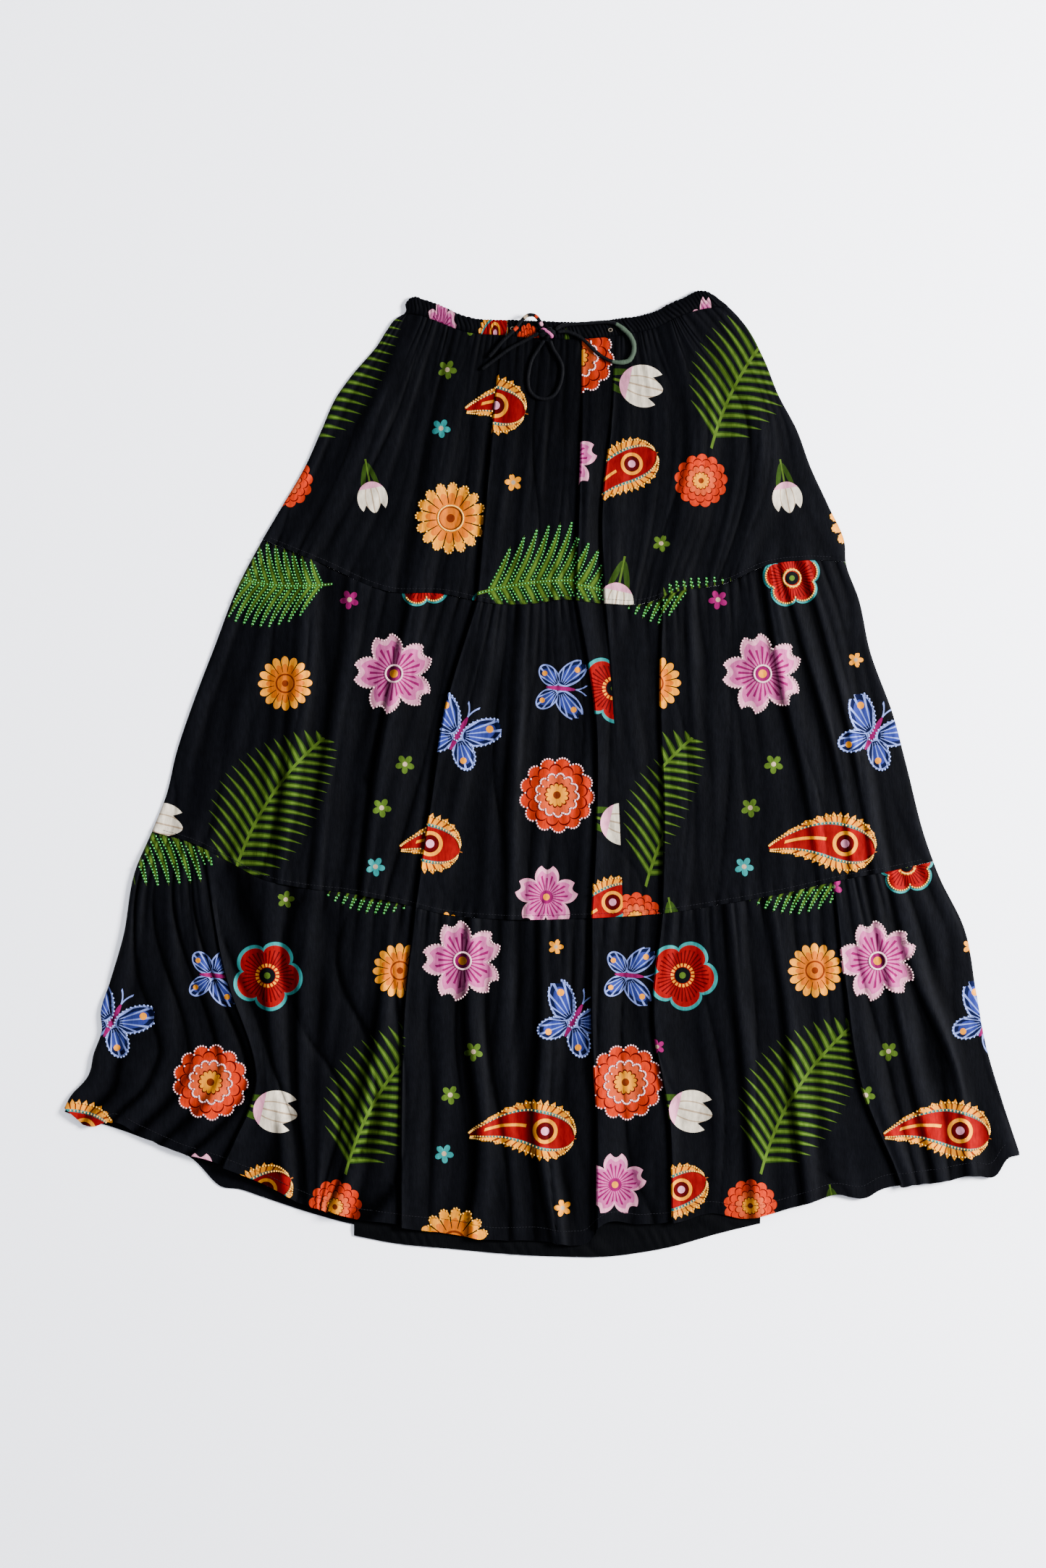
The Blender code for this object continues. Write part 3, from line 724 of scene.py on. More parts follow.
def lay_print(sheet, x, y, shift, printed, cut, shade=1.0):
    """Gives each face the motif that it belongs to and each corner its place in that motif.

    x and y are the cloth's own, for one side of the sheet, and shift is what a face adds to x.
    """
    mesh = sheet.data
    cloth = np.tile(np.stack([x, y], axis=-1).reshape(-1, 2), (2, 1))
    # Painted shade: the point attribute 'shade' is a factor on the crepe's colour, darker in the
    # hollows and lighter on the crests
    lightness = mesh.attributes.new("shade", "FLOAT", "POINT")
    shade = np.tile(np.ravel(np.zeros(x.shape) + shade), 2)
    lightness.data.foreach_set("value", shade.astype(np.float32))
    corners = np.empty(len(mesh.loops), np.int32)
    mesh.loops.foreach_get("vertex_index", corners)
    corner_at = cloth[corners.reshape(-1, 4)] + np.array(cut, float)
    corner_at[:, :, 0] += shift[:, None]
    owner, middle = motif_at(corner_at.mean(axis=1))
    owner[~printed] = -1
    kind = np.zeros(len(owner))
    tint = np.zeros(len(owner))
    local = np.zeros_like(corner_at)
    for number, motif in enumerate(PLACES):
        mine = owner == number
        kind[mine] = motif["kind"]
        tint[mine] = motif["tint"]
        spread = corner_at[mine] - middle[mine][:, None, :]
        p, q = turn_back(spread[:, :, 0], spread[:, :, 1], motif["angle"])
        local[mine] = np.stack([p, q], axis=-1) / motif["radius"]
    for name, values in (("cloth", corner_at * MM), ("motif", local)):
        layer = mesh.uv_layers.new(name=name)
        layer.uv.foreach_set("vector", values.astype(np.float32).ravel())
    for name, values in (("kind", kind), ("tint", tint)):
        layer = mesh.attributes.new(name, "FLOAT", "FACE")
        layer.data.foreach_set("value", values.astype(np.float32))


class Flow:
    """A number in a material. Arithmetic on it adds Math nodes."""

    def __init__(self, tree, socket):
        self.tree = tree
        self.socket = socket

    def step(self, operation, *others):
        node = self.tree.nodes.new("ShaderNodeMath")
        node.operation = operation
        for slot, value in zip(node.inputs, (self, *others)):
            if isinstance(value, Flow):
                self.tree.links.new(value.socket, slot)
            else:
                slot.default_value = value
        return Flow(self.tree, node.outputs[0])

    def __add__(self, other):
        return self.step("ADD", other)

    def __sub__(self, other):
        return self.step("SUBTRACT", other)

    def __mul__(self, other):
        return self.step("MULTIPLY", other)

    def __truediv__(self, other):
        return self.step("DIVIDE", other)

    def __pow__(self, other):
        return self.step("POWER", other)

    def __abs__(self):
        return self.step("ABSOLUTE")

    def below(self, other):
        return self.step("LESS_THAN", other)

    def above(self, other):
        return self.step("GREATER_THAN", other)

    def flipped(self):
        return self * -1.0 + 1.0

    def at_least(self, other):
        return self.step("MAXIMUM", other)

    def at_most(self, other):
        return self.step("MINIMUM", other)


def distance(p, q):
    return (p * p + q * q) ** 0.5


def petals(angle, count):
    """1 along the middle of each petal and 0 between two."""
    return abs((angle * (count / 2)).step("COSINE"))


def teeth(angle, count):
    """A zigzag round the middle, 1 at each tip and 0 between two."""
    return abs((angle * (count / (2 * math.pi))).step("FRACT") - 0.5) * 2.0


def fern_layers(p, q):
    side = q - (p * p).flipped() * FERN_BEND
    out = abs(side)
    base = p - out * FERN_SLANT + out * out * FERN_CURL
    width = (base * base).flipped().at_least(0.0001) ** 0.5 * (base * -0.35 + 1.0) * FERN_WIDTH
    share = out / width
    tooth = abs((base * FERN_LEAVES).step("FRACT") - 0.5) * 2.0
    room = (share * share).flipped()
    leaf = tooth.below(room * FERN_FILL) * base.above(-0.9) * base.below(0.97)
    light = tooth.below(room * 0.3) * leaf
    dark = tooth.above(room * 0.62) * leaf
    stem = out.below(0.016) * abs(p).below(0.99)
    return (leaf, "leaf"), (dark, "leaf_dark"), (light, "leaf_light"), (stem, "leaf_light")


def flower_edge(kind, petal):
    """How far out a flower's outline is, for a share that is 1 along the middle of a petal."""
    _, roundness, out, start = FLOWERS[kind]
    return petal**roundness * out + start


def discs(out, *rows):
    """Layers that each lie within an edge."""
    return tuple((out.below(edge), name) for edge, name in rows)


def daisy_layers(p, q):
    out = distance(p, q)
    petal = petals(q.step("ARCTAN2", p), FLOWERS[DAISY][0])
    edge = flower_edge(DAISY, petal)
    flower = out.below(edge) * (petal.above(0.2).at_least(out.below(0.42)))
    inner = out.below(edge * 0.72) * flower
    middle = discs(out, (0.36, "rust"), (0.3, "orange_yellow"), (0.12, "rust"))
    return (flower, "yellow"), (inner, "orange_yellow"), *middle


def poppy_layers(p, q):
    out = distance(p, q)
    angle = q.step("ARCTAN2", p)
    edge = flower_edge(POPPY, petals(angle, FLOWERS[POPPY][0]))
    vein = petals(angle, 35).above(0.85) * out.above(0.3) * out.below(edge * 0.75)
    stamens = out.above(0.24) * out.below(0.33) * petals(angle, 18).above(0.6)
    return (
        *discs(out, (edge, "teal"), (edge - POPPY_BORDER, "red")), (vein, "deep_red"),
        *discs(out, (0.22, "black")), (stamens, "yellow"), *discs(out, (0.09, "leaf_light")),
    )


def zinnia_layers(p, q):
    out = distance(p, q)
    angle = q.step("ARCTAN2", p)
    count = FLOWERS[ZINNIA][0]
    petal = petals(angle, count) ** 0.5
    turned = petals(angle + math.pi / count, count) ** 0.5
    return discs(
        out, (petal * 0.18 + 0.8, "orange"), (turned * 0.16 + 0.66, "deep_red"),
        (turned * 0.16 + 0.62, "orange"), (petal * 0.14 + 0.45, "deep_red"),
        (petal * 0.14 + 0.41, "coral"), (turned * 0.1 + 0.24, "deep_red"),
        (turned * 0.1 + 0.2, "yellow"), (0.1, "rust"),
    )


def blossom_edge(petal, notch):
    """A blossom's outline, where notch is how far a petal's middle is past the notch's start."""
    return flower_edge(BLOSSOM, petal) - notch * BLOSSOM_NOTCH[1]


def blossom_layers(p, q):
    out = distance(p, q)
    angle = q.step("ARCTAN2", p)
    petal = petals(angle, FLOWERS[BLOSSOM][0])
    edge = blossom_edge(petal, (petal - BLOSSOM_NOTCH[0]).at_least(0.0))
    vein = petals(angle, 25).above(0.8) * out.above(0.2) * out.below(edge * 0.7)
    return (
        (out.below(edge), "pink"), (out.above(edge * 0.84) * out.below(edge), "pale_pink"),
        (vein, "magenta"), *discs(out, (0.2, "magenta"), (0.1, "yellow")),
    )


def oval(p, q, middle, radii, turn=0.0):
    """How far out a point is in an oval, where 1 is its rim."""
    p = p - middle[0]
    q = q - middle[1]
    cos, sin = math.cos(turn), math.sin(turn)
    return distance((p * cos + q * sin) / radii[0], (q * cos - p * sin) / radii[1])


def butterfly_layers(p, q):
    side = abs(q)
    upper = oval(p, side, *UPPER_WING)
    lower = oval(p, side, *LOWER_WING)
    wing = upper.at_most(lower)
    ribs = petals(side.step("ARCTAN2", p), 26).above(0.92) * distance(p, q).above(0.2)
    upper_spot, lower_spot = (oval(p, side, *spot) for spot in WING_SPOTS)
    spots = upper_spot.at_most(lower_spot)
    feeler = oval(p, side, *FEELER)
    return (
        (feeler.below(1.0) * feeler.above(0.72) * p.above(0.5) * side.below(0.16), "pale_blue"),
        (wing.below(1.0), "pale_blue"), (wing.below(0.88), "deep_blue"),
        (wing.below(0.62), "blue"), (wing.below(0.88) * ribs, "pale_blue"),
        (spots.below(1.0), "yellow"),
        (oval(p, q, *BODY).below(1.0), "magenta"),
    )


def tulip_layers(p, q):
    side = abs(q)
    tips = abs((q * (math.pi / TULIP_CUP[1][1])).step("COSINE")) * 0.3 + 0.52
    cup = oval(p, q, *TULIP_CUP).below(1.0) * p.below(tips)
    petal = oval(p, q, *TULIP_PETAL)
    blade = oval(p, side, *TULIP_BLADE)
    return (
        (side.below(0.03) * p.above(-0.98) * p.below(0.0), "leaf_light"),
        (blade.below(1.0), "leaf"), (cup, "white"),
        (cup * petal.above(0.88) * petal.below(1.0), "cream"),
        (cup * petal.below(0.88) * side.below(0.02), "cream"),
        (cup * p.below(0.0), "pale_pink"),
    )


def paisley_layers(p, q):
    bend = (p + 0.2).at_least(0.0)
    side = q - bend * bend * 0.34 + 0.1
    width = (p * p).flipped().at_least(0.0001) ** 0.5 * (p * -0.55 + 1.0) * 0.5
    share = abs(side) / width
    angle = side.step("ARCTAN2", p + 0.25)
    scallop = teeth(angle, 26)
    border = share.below(scallop * 0.2 + 0.84)
    eye = distance(p + 0.42, side)
    return (
        (border, "yellow"), (border * scallop.below(0.25) * share.above(0.66), "rust"),
        (share.below(0.66), "teal"), (share.below(0.56), "red"),
        (eye.below(0.24), "yellow"), (eye.below(0.17), "deep_red"), (eye.below(0.08), "pale_pink"),
        (abs(side).below(0.03) * p.above(-0.05) * p.below(0.7), "yellow"),
    )


def floret_layers(p, q):
    out = distance(p, q)
    petal = petals(q.step("ARCTAN2", p), FLOWERS[FLORET][0])
    return discs(out, (flower_edge(FLORET, petal), "tinted"), (0.24, "cream"))


MOTIFS = {
    FERN: fern_layers, DAISY: daisy_layers, POPPY: poppy_layers, ZINNIA: zinnia_layers,
    BLOSSOM: blossom_layers, BUTTERFLY: butterfly_layers, TULIP: tulip_layers,
    PAISLEY: paisley_layers, FLORET: floret_layers,
}


def colour(name, default, description):
    """A colour that a user can change."""
    return bpy.props.FloatVectorProperty(
        name=name, description=description, default=default, size=3, min=0.0, max=1.0,
        subtype="COLOR",
    )


def length(name, default, description):
    """A length that a user can change."""
    return bpy.props.FloatProperty(
        name=name, description=description, default=default, min=0.0, unit="LENGTH", precision=5
    )


class SkirtSettings(bpy.types.PropertyGroup):
    """Sizes and colours of the skirt"""

    cloth_wall: length("Cloth thickness", 0.0006, "Thickness of the crepe")
    gather_columns: bpy.props.IntProperty(
        name="Columns to a gather", description="Columns of points across each gather",
        default=8, min=4,
    )
    flat_step: length("Flat grid", 0.004, "Distance between the points of the flat pieces")
    row_step: length("Grid down", 0.0042, "Distance between the cloth's points down it")
    cord_width: length("Cord width", 0.0036, "Diameter of the tie cord")
    bead_width: length("Bead width", 0.0022, "Diameter of the beads")
    bead_step: length("Bead spacing", 0.003, "Distance between two beads of a line")
    black: colour("Crepe", (0.001, 0.0011, 0.00165), "The cloth between the motifs")
    lining: colour("Lining", (0.0008, 0.0009, 0.0012), "The underskirt")
    thread: colour("Thread", (0.007, 0.007, 0.009), "The topstitching")
    eyelet: colour("Eyelet thread", (0.06, 0.05, 0.04), "The sewn rings of the casing")
    leaf: colour("Leaf", (0.008, 0.018, 0.002), "Fern leaves")
    leaf_dark: colour("Dark leaf", (0.002, 0.006, 0.001), "Edges of the fern leaves")
    leaf_light: colour("Light leaf", (0.024, 0.045, 0.005), "Veins and stems")
    sage: colour("Sage", (0.022, 0.033, 0.023), "The pale stretch of the tie cord")
    yellow: colour("Yellow", (0.38, 0.128, 0.0), "Daisies and borders")
    orange_yellow: colour("Orange yellow", (0.27, 0.058, 0.0), "Inner petals")
    rust: colour("Rust", (0.074, 0.0098, 0.0016), "Flower centres")
    red: colour("Red", (0.094, 0.00057, 0.0011), "Poppies and paisleys")
    deep_red: colour("Deep red", (0.029, 0.00041, 0.00082), "Veins of the poppies")
    orange: colour("Orange", (0.21, 0.0098, 0.00098), "Zinnias")
    coral: colour("Coral", (0.25, 0.03, 0.0074), "Inner petals of the zinnias")
    pink: colour("Pink", (0.22, 0.041, 0.12), "Blossoms")
    pale_pink: colour("Pale pink", (0.31, 0.12, 0.18), "Edges of petals")
    magenta: colour("Magenta", (0.09, 0.002, 0.037), "Veins of the blossoms")
    blue: colour("Blue", (0.011, 0.016, 0.09), "Butterflies")
    deep_blue: colour("Deep blue", (0.0016, 0.0025, 0.015), "Outer part of the wings")
    pale_blue: colour("Pale blue", (0.082, 0.11, 0.28), "Lines of the wings")
    teal: colour("Teal", (0.0066, 0.09, 0.09), "Edges of poppies and paisleys")
    white: colour("White", (0.33, 0.29, 0.23), "Tulips")
    cream: colour("Cream", (0.18, 0.13, 0.086), "Lines on the tulips")


def settings():
    return bpy.context.scene.skirt


def new_material(name, **values):
    """A material, its nodes and its Principled surface, some of whose inputs are set by name."""
    material = bpy.data.materials.new(name)
    material.use_nodes = True
    tree = material.node_tree
    surface = tree.nodes["Principled BSDF"]
    for key, value in values.items():
        surface.inputs[SURFACE_INPUTS[key]].default_value = value
    return material, tree, surface


def add_node(tree, kind, **values):
    """A new node with some of its own values."""
    node = tree.nodes.new(f"ShaderNode{kind}")
    for name, value in values.items():
        setattr(node, name, value)
    return node


def object_place(tree):
    return add_node(tree, "TexCoord").outputs["Object"]


def noise_flow(tree, vector, scale, detail=2.0):
    noise = add_node(tree, "TexNoise")
    noise.inputs["Scale"].default_value = scale
    noise.inputs["Detail"].default_value = detail
    tree.links.new(vector, noise.inputs["Vector"])
    return Flow(tree, noise.outputs["Fac"])


def stretched_noise(tree, vector, across, along):
    """Noise from 0 to 1 with its own fineness across the cloth and along it."""
    scaled = add_node(tree, "Mapping")
    scaled.inputs["Scale"].default_value = (across, along, across)
    tree.links.new(vector, scaled.inputs["Vector"])
    return noise_flow(tree, scaled.outputs["Vector"], 1.0)


def crinkle(tree, surface, vector, strength):
    """Fine upright crinkles of crepe as bump. The coarse ones are also returned, for the painted shade
    of the crinkles in the colour.
    """
    fine, coarse = (
        stretched_noise(tree, vector, across, along) * weight
        for across, along, weight in CRINKLES
    )
    bump = add_node(tree, "Bump")
    bump.inputs["Strength"].default_value = strength
    bump.inputs["Distance"].default_value = CRINKLE_DEPTH
    tree.links.new((fine + coarse).socket, bump.inputs["Height"])
    tree.links.new(bump.outputs["Normal"], surface.inputs["Normal"])
    return coarse


def mixed(tree, below, above, share):
    """Colour socket of one colour over another. The upper one may be plain numbers."""
    mix = add_node(tree, "Mix", data_type="RGBA", clamp_factor=False)
    tree.links.new(share.socket, mix.inputs["Factor"])
    for slot, value in (("A", below), ("B", above)):
        socket = next(s for s in mix.inputs if s.name == slot and s.type == "RGBA")
        if isinstance(value, bpy.types.NodeSocket):
            tree.links.new(value, socket)
        else:
            socket.default_value = (*value, 1.0)
    return next(s for s in mix.outputs if s.type == "RGBA")


def tinted_colour(tree, tint):
    """The floret's colour, one of four."""
    chosen = settings()
    found = tuple(chosen.yellow)
    for name, start in (("teal", 0.25), ("magenta", 0.5), ("leaf_light", 0.75)):
        found = mixed(tree, found, tuple(getattr(chosen, name)), tint.above(start))
    return found


def printed_crepe():
    """Black crinkle crepe with the printed repeat, from the cloth's own coordinates."""
    material, tree, surface = new_material(
        "printed_crepe", roughness=0.62, sheen=0.002, sheen_roughness=0.45,
        sheen_tint=(0.75, 0.85, 1.0, 1.0),
    )
    cloth, place = (
        add_node(tree, "UVMap", uv_map=name).outputs["UV"] for name in ("cloth", "motif")
    )
    split = add_node(tree, "SeparateXYZ")
    tree.links.new(place, split.inputs["Vector"])
    p, q = (Flow(tree, split.outputs[axis]) for axis in ("X", "Y"))
    # The 'shade' attribute read here is painted shade: darker in the fold hollows, lighter on the
    # crests
    kind, tint, hollow_painted_shade = (
        Flow(tree, add_node(tree, "Attribute", attribute_name=name).outputs["Fac"])
        for name in ("kind", "tint", "shade")
    )
    chosen = settings()
    ink = tuple(chosen.black)
    for number, layers in MOTIFS.items():
        here = abs(kind - float(number)).below(0.5)
        for mask, name in layers(p, q):
            paint = tinted_colour(tree, tint) if name == "tinted" else tuple(getattr(chosen, name))
            ink = mixed(tree, ink, paint, mask * here)
    # The colour's factor: the painted shade of the folds from 'shade', times the painted shade of the
    # coarse crinkles
    tone = hollow_painted_shade * (crinkle(tree, surface, cloth, CREPE_CRINKLE) * 0.31 + 0.7)
    for across, along, depth in BRUSHED_TONES:
        tone = tone * (stretched_noise(tree, cloth, across, along) * depth + (1.0 - depth / 2.0))
    # The gloss follows the same painted shade, weaker in the hollows
    tree.links.new((hollow_painted_shade * CREPE_GLOSS).socket, surface.inputs["Specular IOR Level"])
    shade = mixed(tree, (0.0, 0.0, 0.0), (1.0, 1.0, 1.0), tone)
    product = add_node(tree, "Mix", data_type="RGBA", blend_type="MULTIPLY")
    product.inputs["Factor"].default_value = 1.0
    below, above = (socket for socket in product.inputs if socket.type == "RGBA")
    tree.links.new(ink, below)
    tree.links.new(shade, above)
    result = next(socket for socket in product.outputs if socket.type == "RGBA")
    tree.links.new(result, surface.inputs["Base Color"])
    return material


def plain_cloth(name, base, strength=0.4):
    """An unprinted woven cloth."""
    material, tree, surface = new_material(name, roughness=0.7, specular=0.012, sheen=0.001)
    coarse = crinkle(tree, surface, object_place(tree), strength)
    # Painted shade of the crinkles: darker where the coarse crinkles are low, lighter where they are
    # high
    darker = tuple(0.7 * part for part in base)
    lighter = tuple(1.4 * part for part in base)
    tone = mixed(tree, darker, lighter, coarse / CRINKLES[-1][-1])
    tree.links.new(tone, surface.inputs["Base Color"])
    return material


def glass_bead(name, base):
    """Small glossy beads, each a little lighter or darker."""
    material, tree, surface = new_material(name, roughness=0.18, specular=0.6)
    darker = tuple(0.55 * part for part in base)
    lighter = tuple(min(1.0, 1.5 * part + 0.02) for part in base)
    shade = mixed(tree, darker, lighter, noise_flow(tree, object_place(tree), BEAD_VARIETY))
    tree.links.new(shade, surface.inputs["Base Color"])
    return material


def sew_on(piece, material):
    """Gives a piece its material and its body."""
    piece.data.materials.append(material)
    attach(piece, "root")


def finish_piece(piece, material, node):
    """Finishes a piece that takes the place of a solid."""
    sew_on(piece, material)
    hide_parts(node)


def shared_crepe():
    return bpy.data.materials.get("printed_crepe") or printed_crepe()


def edge_turn(tier):
    """Width of the turned edge at the bottom of a tier."""
    return HEM_TURN if tier == "tier3" else SEAM_TURN


def make_front_tier(tier):
    """A front tier: a thin sheet with its folds, gathers, seam turnings and print."""
    chosen = settings()
    edges = TIER_EDGES[tier]
    folds = FOLDS[tier]
    lanes = lane_columns(edges, folds, TIER_WAVES[tier] * chosen.gather_columns)
    top_y, bottom_y = edge_y(edges, 0.5)
    count = round((top_y - bottom_y) / (chosen.row_step / MM))
    rows = np.linspace(0.0, 1.0, count + 1)
    rows = np.unique(np.concatenate([rows, (0.006, 0.975, 0.984, 0.992)]))
    lane, down = np.meshgrid(lanes, rows)
    x, y = plan_points(edges, folds, lane, down)
    top = tier_height(tier, x, lane, down)
    if tier == "tier3":
        step = HEM_STEP * np.sin(2.1 * laps_left_of(folds, x, down) + 1.0)
        pull = HEM_PULL * (gathers(tier, lane, down) - LOOSE_HEIGHT[tier] / 2)
        y = y + (step + pull) * smooth_step((down - 0.9) / 0.1)
    size = top_y - bottom_y
    turned = (down - 1.0 + edge_turn(tier) / size) * size
    top = top + TURN_RISE * smooth_step(turned / 1.5)
    top = top - SEAM_DIP * smooth_step(1.0 - down * size / SEAM_DIP_WIDTH)
    under = np.maximum(top - chosen.cloth_wall / MM, LEAST_UNDER)
    sheet, upper = cloth_sheet(f"{tier}_front_cloth", x, y, top, under)
    laps = laps_left_of(folds, (x[:-1, :-1] + x[1:, 1:]) / 2, (down[:-1, :-1] + down[1:, 1:]) / 2)
    faces = np.arange(len(sheet.data.polygons))
    shift = np.zeros(len(faces))
    shift[:upper] = laps.ravel() * LAP_HIDDEN
    # Painted shade in the hollows, times painted light that lightens the far right side
    shade = hollow_shade(top) * (1.0 + RIGHT_SIDE_PAINTED_LIGHT * smooth_step((x - 170.0) / 160.0))
    # Painted shade: the middle of the first tier, below the waist, is darkened
    if tier == "tier1":
        waist_shade_share = smooth_step((1.0 - down) / 0.9) * np.exp(-(((x - 10.0) / 110.0) ** 2))
        shade = shade * (1.0 - WAIST_PAINTED_SHADE * waist_shade_share)
    lay_print(sheet, x, y, shift, faces < upper, CUTS[f"{tier}_front"], shade)
    finish_piece(sheet, shared_crepe(), f"{tier}_front")
    flat_size(edges)


def flat_size(edges):
    """Width and length, in metres, of the straight strip that a tier is gathered from."""
    left, right = side_x(edges, 1.0)
    top_y, bottom_y = edge_y(edges, 0.5)
    return (right - left) * MM, (top_y - bottom_y) * MM


def make_back(tier):
    """The flat back of a tier, printed on the side that lies on the table."""
    chosen = settings()
    top, bottom = TIER_EDGES[tier]
    edges = (top, BACK_HEM if bottom is FRONT_HEM else bottom)
    step = chosen.flat_step / MM
    top_y, bottom_y = edge_y(edges, 0.5)
    left, right = side_x(edges, 0.5)
    lanes = lane_columns(edges, (), round((right - left) / step))
    rows = np.linspace(0.0, 1.0, round((top_y - bottom_y) / step) + 1)
    lane, down = np.meshgrid(lanes, rows)
    x, y = plan_points(edges, (), lane, down)
    left, right = side_x(edges, down)
    inward = np.clip(np.minimum(x - left, right - x) / BACK_ROUND, 0.0, 1.0)
    ripple = BACK_RIPPLE * rounded_waves(BACK_WAVES, lane) * (1.0 - smooth_step(down / 0.4))
    high = 0.5 + 0.65 * np.sqrt(1.0 - (1.0 - inward) ** 2) + ripple * inward
    sheet, upper = cloth_sheet(f"{tier}_back_cloth", x, y, high, np.zeros_like(x))
    faces = np.arange(len(sheet.data.polygons))
    printed = (faces >= upper) & (faces < 2 * upper)
    lay_print(sheet, x, y, np.zeros(len(faces)), printed, CUTS[f"{tier}_back"])
    finish_piece(sheet, shared_crepe(), f"{tier}_back")
    flat_size(edges)


def make_casing(name, low, puff_height, rib_height, printed_top):
    """Half of the gathered casing over its elastic, in a rounded section."""
    lanes = np.linspace(0.0, 1.0, CASING_WAVES * 8 + 1)
    lane, down = np.meshgrid(lanes, np.linspace(0.0, 1.0, CASING_ROWS))
    puff = np.sin(np.pi * np.clip(down * 0.94 + 0.03, 0.0, 1.0)) ** 0.45
    x, y = plan_points(CASING_EDGES, (), lane, down)
    rib = gathered_waves(CASING_WAVES, lane, sway("casing", lane, down) + 0.3 * down)
    rib = rib * (0.65 + 0.35 * np.sin(lane * 131.0 + 2.0 * down) * np.cos(lane * 57.0))
    y = y + 1.1 * rib * (1.0 - smooth_step(down / 0.3)) - 0.5
    ends = 0.25 + 0.75 * smooth_step(np.minimum(lane, 1.0 - lane) * 30.0)
    under = np.full_like(x, low)
    top = under + 0.5 + puff_height * puff * ends + rib_height * puff * rib * ends
    sheet, upper = cloth_sheet(f"{name}_cloth", x, y, top, under)
    faces = np.arange(len(sheet.data.polygons))
    printed = faces < upper if printed_top else faces >= upper
    # Painted shade: the casing's hollow shade, darkened as a whole
    shade = CASING_PAINTED_SHADE * hollow_shade(top)
    lay_print(sheet, x * CASING_FULLNESS, y, np.zeros(len(faces)), printed, CUTS[name], shade)
    finish_piece(sheet, shared_crepe(), name)
    return sheet


class SKIRT_OT_casing(bpy.types.Operator):
    """Make the gathered waist casing, front and back"""

    bl_idname = "skirt.casing"
    bl_label = "Waist casing"

    def execute(self, context):
        low = CASING_BACK_WALL + SEAM_GAP
        front = make_casing("waistband_front", low, *CASING_FRONT, True)
        back = make_casing("waistband_back", 0.0, *CASING_BACK, False)
        return {"FINISHED"}


class SKIRT_OT_tiers(bpy.types.Operator):
    """Make the three gathered front tiers"""

    bl_idname = "skirt.tiers"
    bl_label = "Front tiers"

    def execute(self, context):
        for tier in TIER_EDGES:
            make_front_tier(tier)
        return {"FINISHED"}


class SKIRT_OT_backs(bpy.types.Operator):
    """Make the backs of the three tiers"""

    bl_idname = "skirt.backs"
    bl_label = "Back tiers"

    def execute(self, context):
        for tier in TIER_EDGES:
            make_back(tier)
        return {"FINISHED"}


class SKIRT_OT_lining(bpy.types.Operator):
    """Make the lower stretch of the underskirt, whose hem shows"""

    bl_idname = "skirt.lining"
    bl_label = "Underskirt hem"

    def execute(self, context):
        chosen = settings()
        columns = np.arange(LINING_HEM[0][0], LINING_HEM[-1][0] + 0.1, LINING_STEP)
        rows = np.concatenate([np.linspace(0.0, 0.85, 40), np.linspace(0.86, 1.0, 25)])[:, None]
        hem = read_curve(LINING_HEM, columns)
        x = np.repeat(columns[None, :], len(rows), axis=0)
        y = LINING_TOP + (hem - LINING_TOP) * rows
        front_edge, back_edge = (read_curve(edge, columns) - 2.0 for edge in (FRONT_HEM, BACK_HEM))
        past = smooth_step((back_edge - y) / LINING_FALL)
        low = (BACK_WALL + SEAM_GAP) * (1.0 - LINING_DROP * past)
        across = (x - columns[0]) / 400.0
        ripple = 0.25 * rounded_waves(LINING_WAVES, across, 0.2 * np.sin(x / 31.0))
        lean = 0.7 * np.sin(x / 19.0) + (y - hem) / 21.0
        crush = gathered_waves(LINING_CREASES, across, lean)
        crush = crush * (0.5 + 0.5 * np.sin(x / 13.0 + y / 9.0))
        crush = LINING_CRUSH * crush * smooth_step((front_edge - y) / 4.0)
        band = LINING_BAND * smooth_step((LINING_TURN - (y - hem)) / 1.5)
        top = low + 0.5 + ripple + band + crush
        sheet = cloth_sheet("lining_hem_cloth", x, y, top, low)[0]
        finish_piece(sheet, plain_cloth("lining_cloth", tuple(chosen.lining)), "lining_hem")
        return {"FINISHED"}


def distances_along(path):
    steps = np.linalg.norm(np.diff(path, axis=0), axis=1)
    return np.concatenate([[0.0], np.cumsum(steps)])


def full_turn(count):
    return np.linspace(0.0, 2.0 * np.pi, count, endpoint=False)


def smooth_route(route, step):
    """Evenly spaced points, in metres, on a smooth curve through the points of a route."""
    points = np.array(route, float) * MM
    along = distances_along(points)
    stations = np.linspace(0.0, along[-1], round(along[-1] / step) + 1)
    columns = [read_curve(tuple(zip(along, points[:, axis])), stations) for axis in range(3)]
    return np.stack(columns, axis=1)


def tube_arrays(path, radii, sides, flat=1.0, closed=False):
    """Points and faces of a tube along a path, with rounded ends unless it is closed."""
    ahead = np.roll(path, -1, axis=0) - np.roll(path, 1, axis=0)
    if not closed:
        ahead[0] = path[1] - path[0]
        ahead[-1] = path[-1] - path[-2]
    ahead /= np.linalg.norm(ahead, axis=1)[:, None]
    beside = np.cross(ahead, (0.0, 0.0, 1.0))
    beside /= np.linalg.norm(beside, axis=1)[:, None]
    above = np.cross(beside, ahead)
    turn = full_turn(sides)
    rings = (
        path[:, None, :]
        + radii[:, None, None] * np.cos(turn)[None, :, None] * beside[:, None, :]
        + radii[:, None, None] * flat * np.sin(turn)[None, :, None] * above[:, None, :]
    )
    count = len(path)
    index = np.arange(count * sides).reshape(count, sides)
    here = index if closed else index[:-1]
    after = np.roll(index, -1, axis=0) if closed else index[1:]
    quads = np.stack(
        [here, np.roll(here, -1, axis=1), np.roll(after, -1, axis=1), after], axis=-1
    ).reshape(-1, 4)
    faces = quads.tolist()
    if not closed:
        faces += [index[0][::-1].tolist(), index[-1].tolist()]
    return rings.reshape(-1, 3), faces


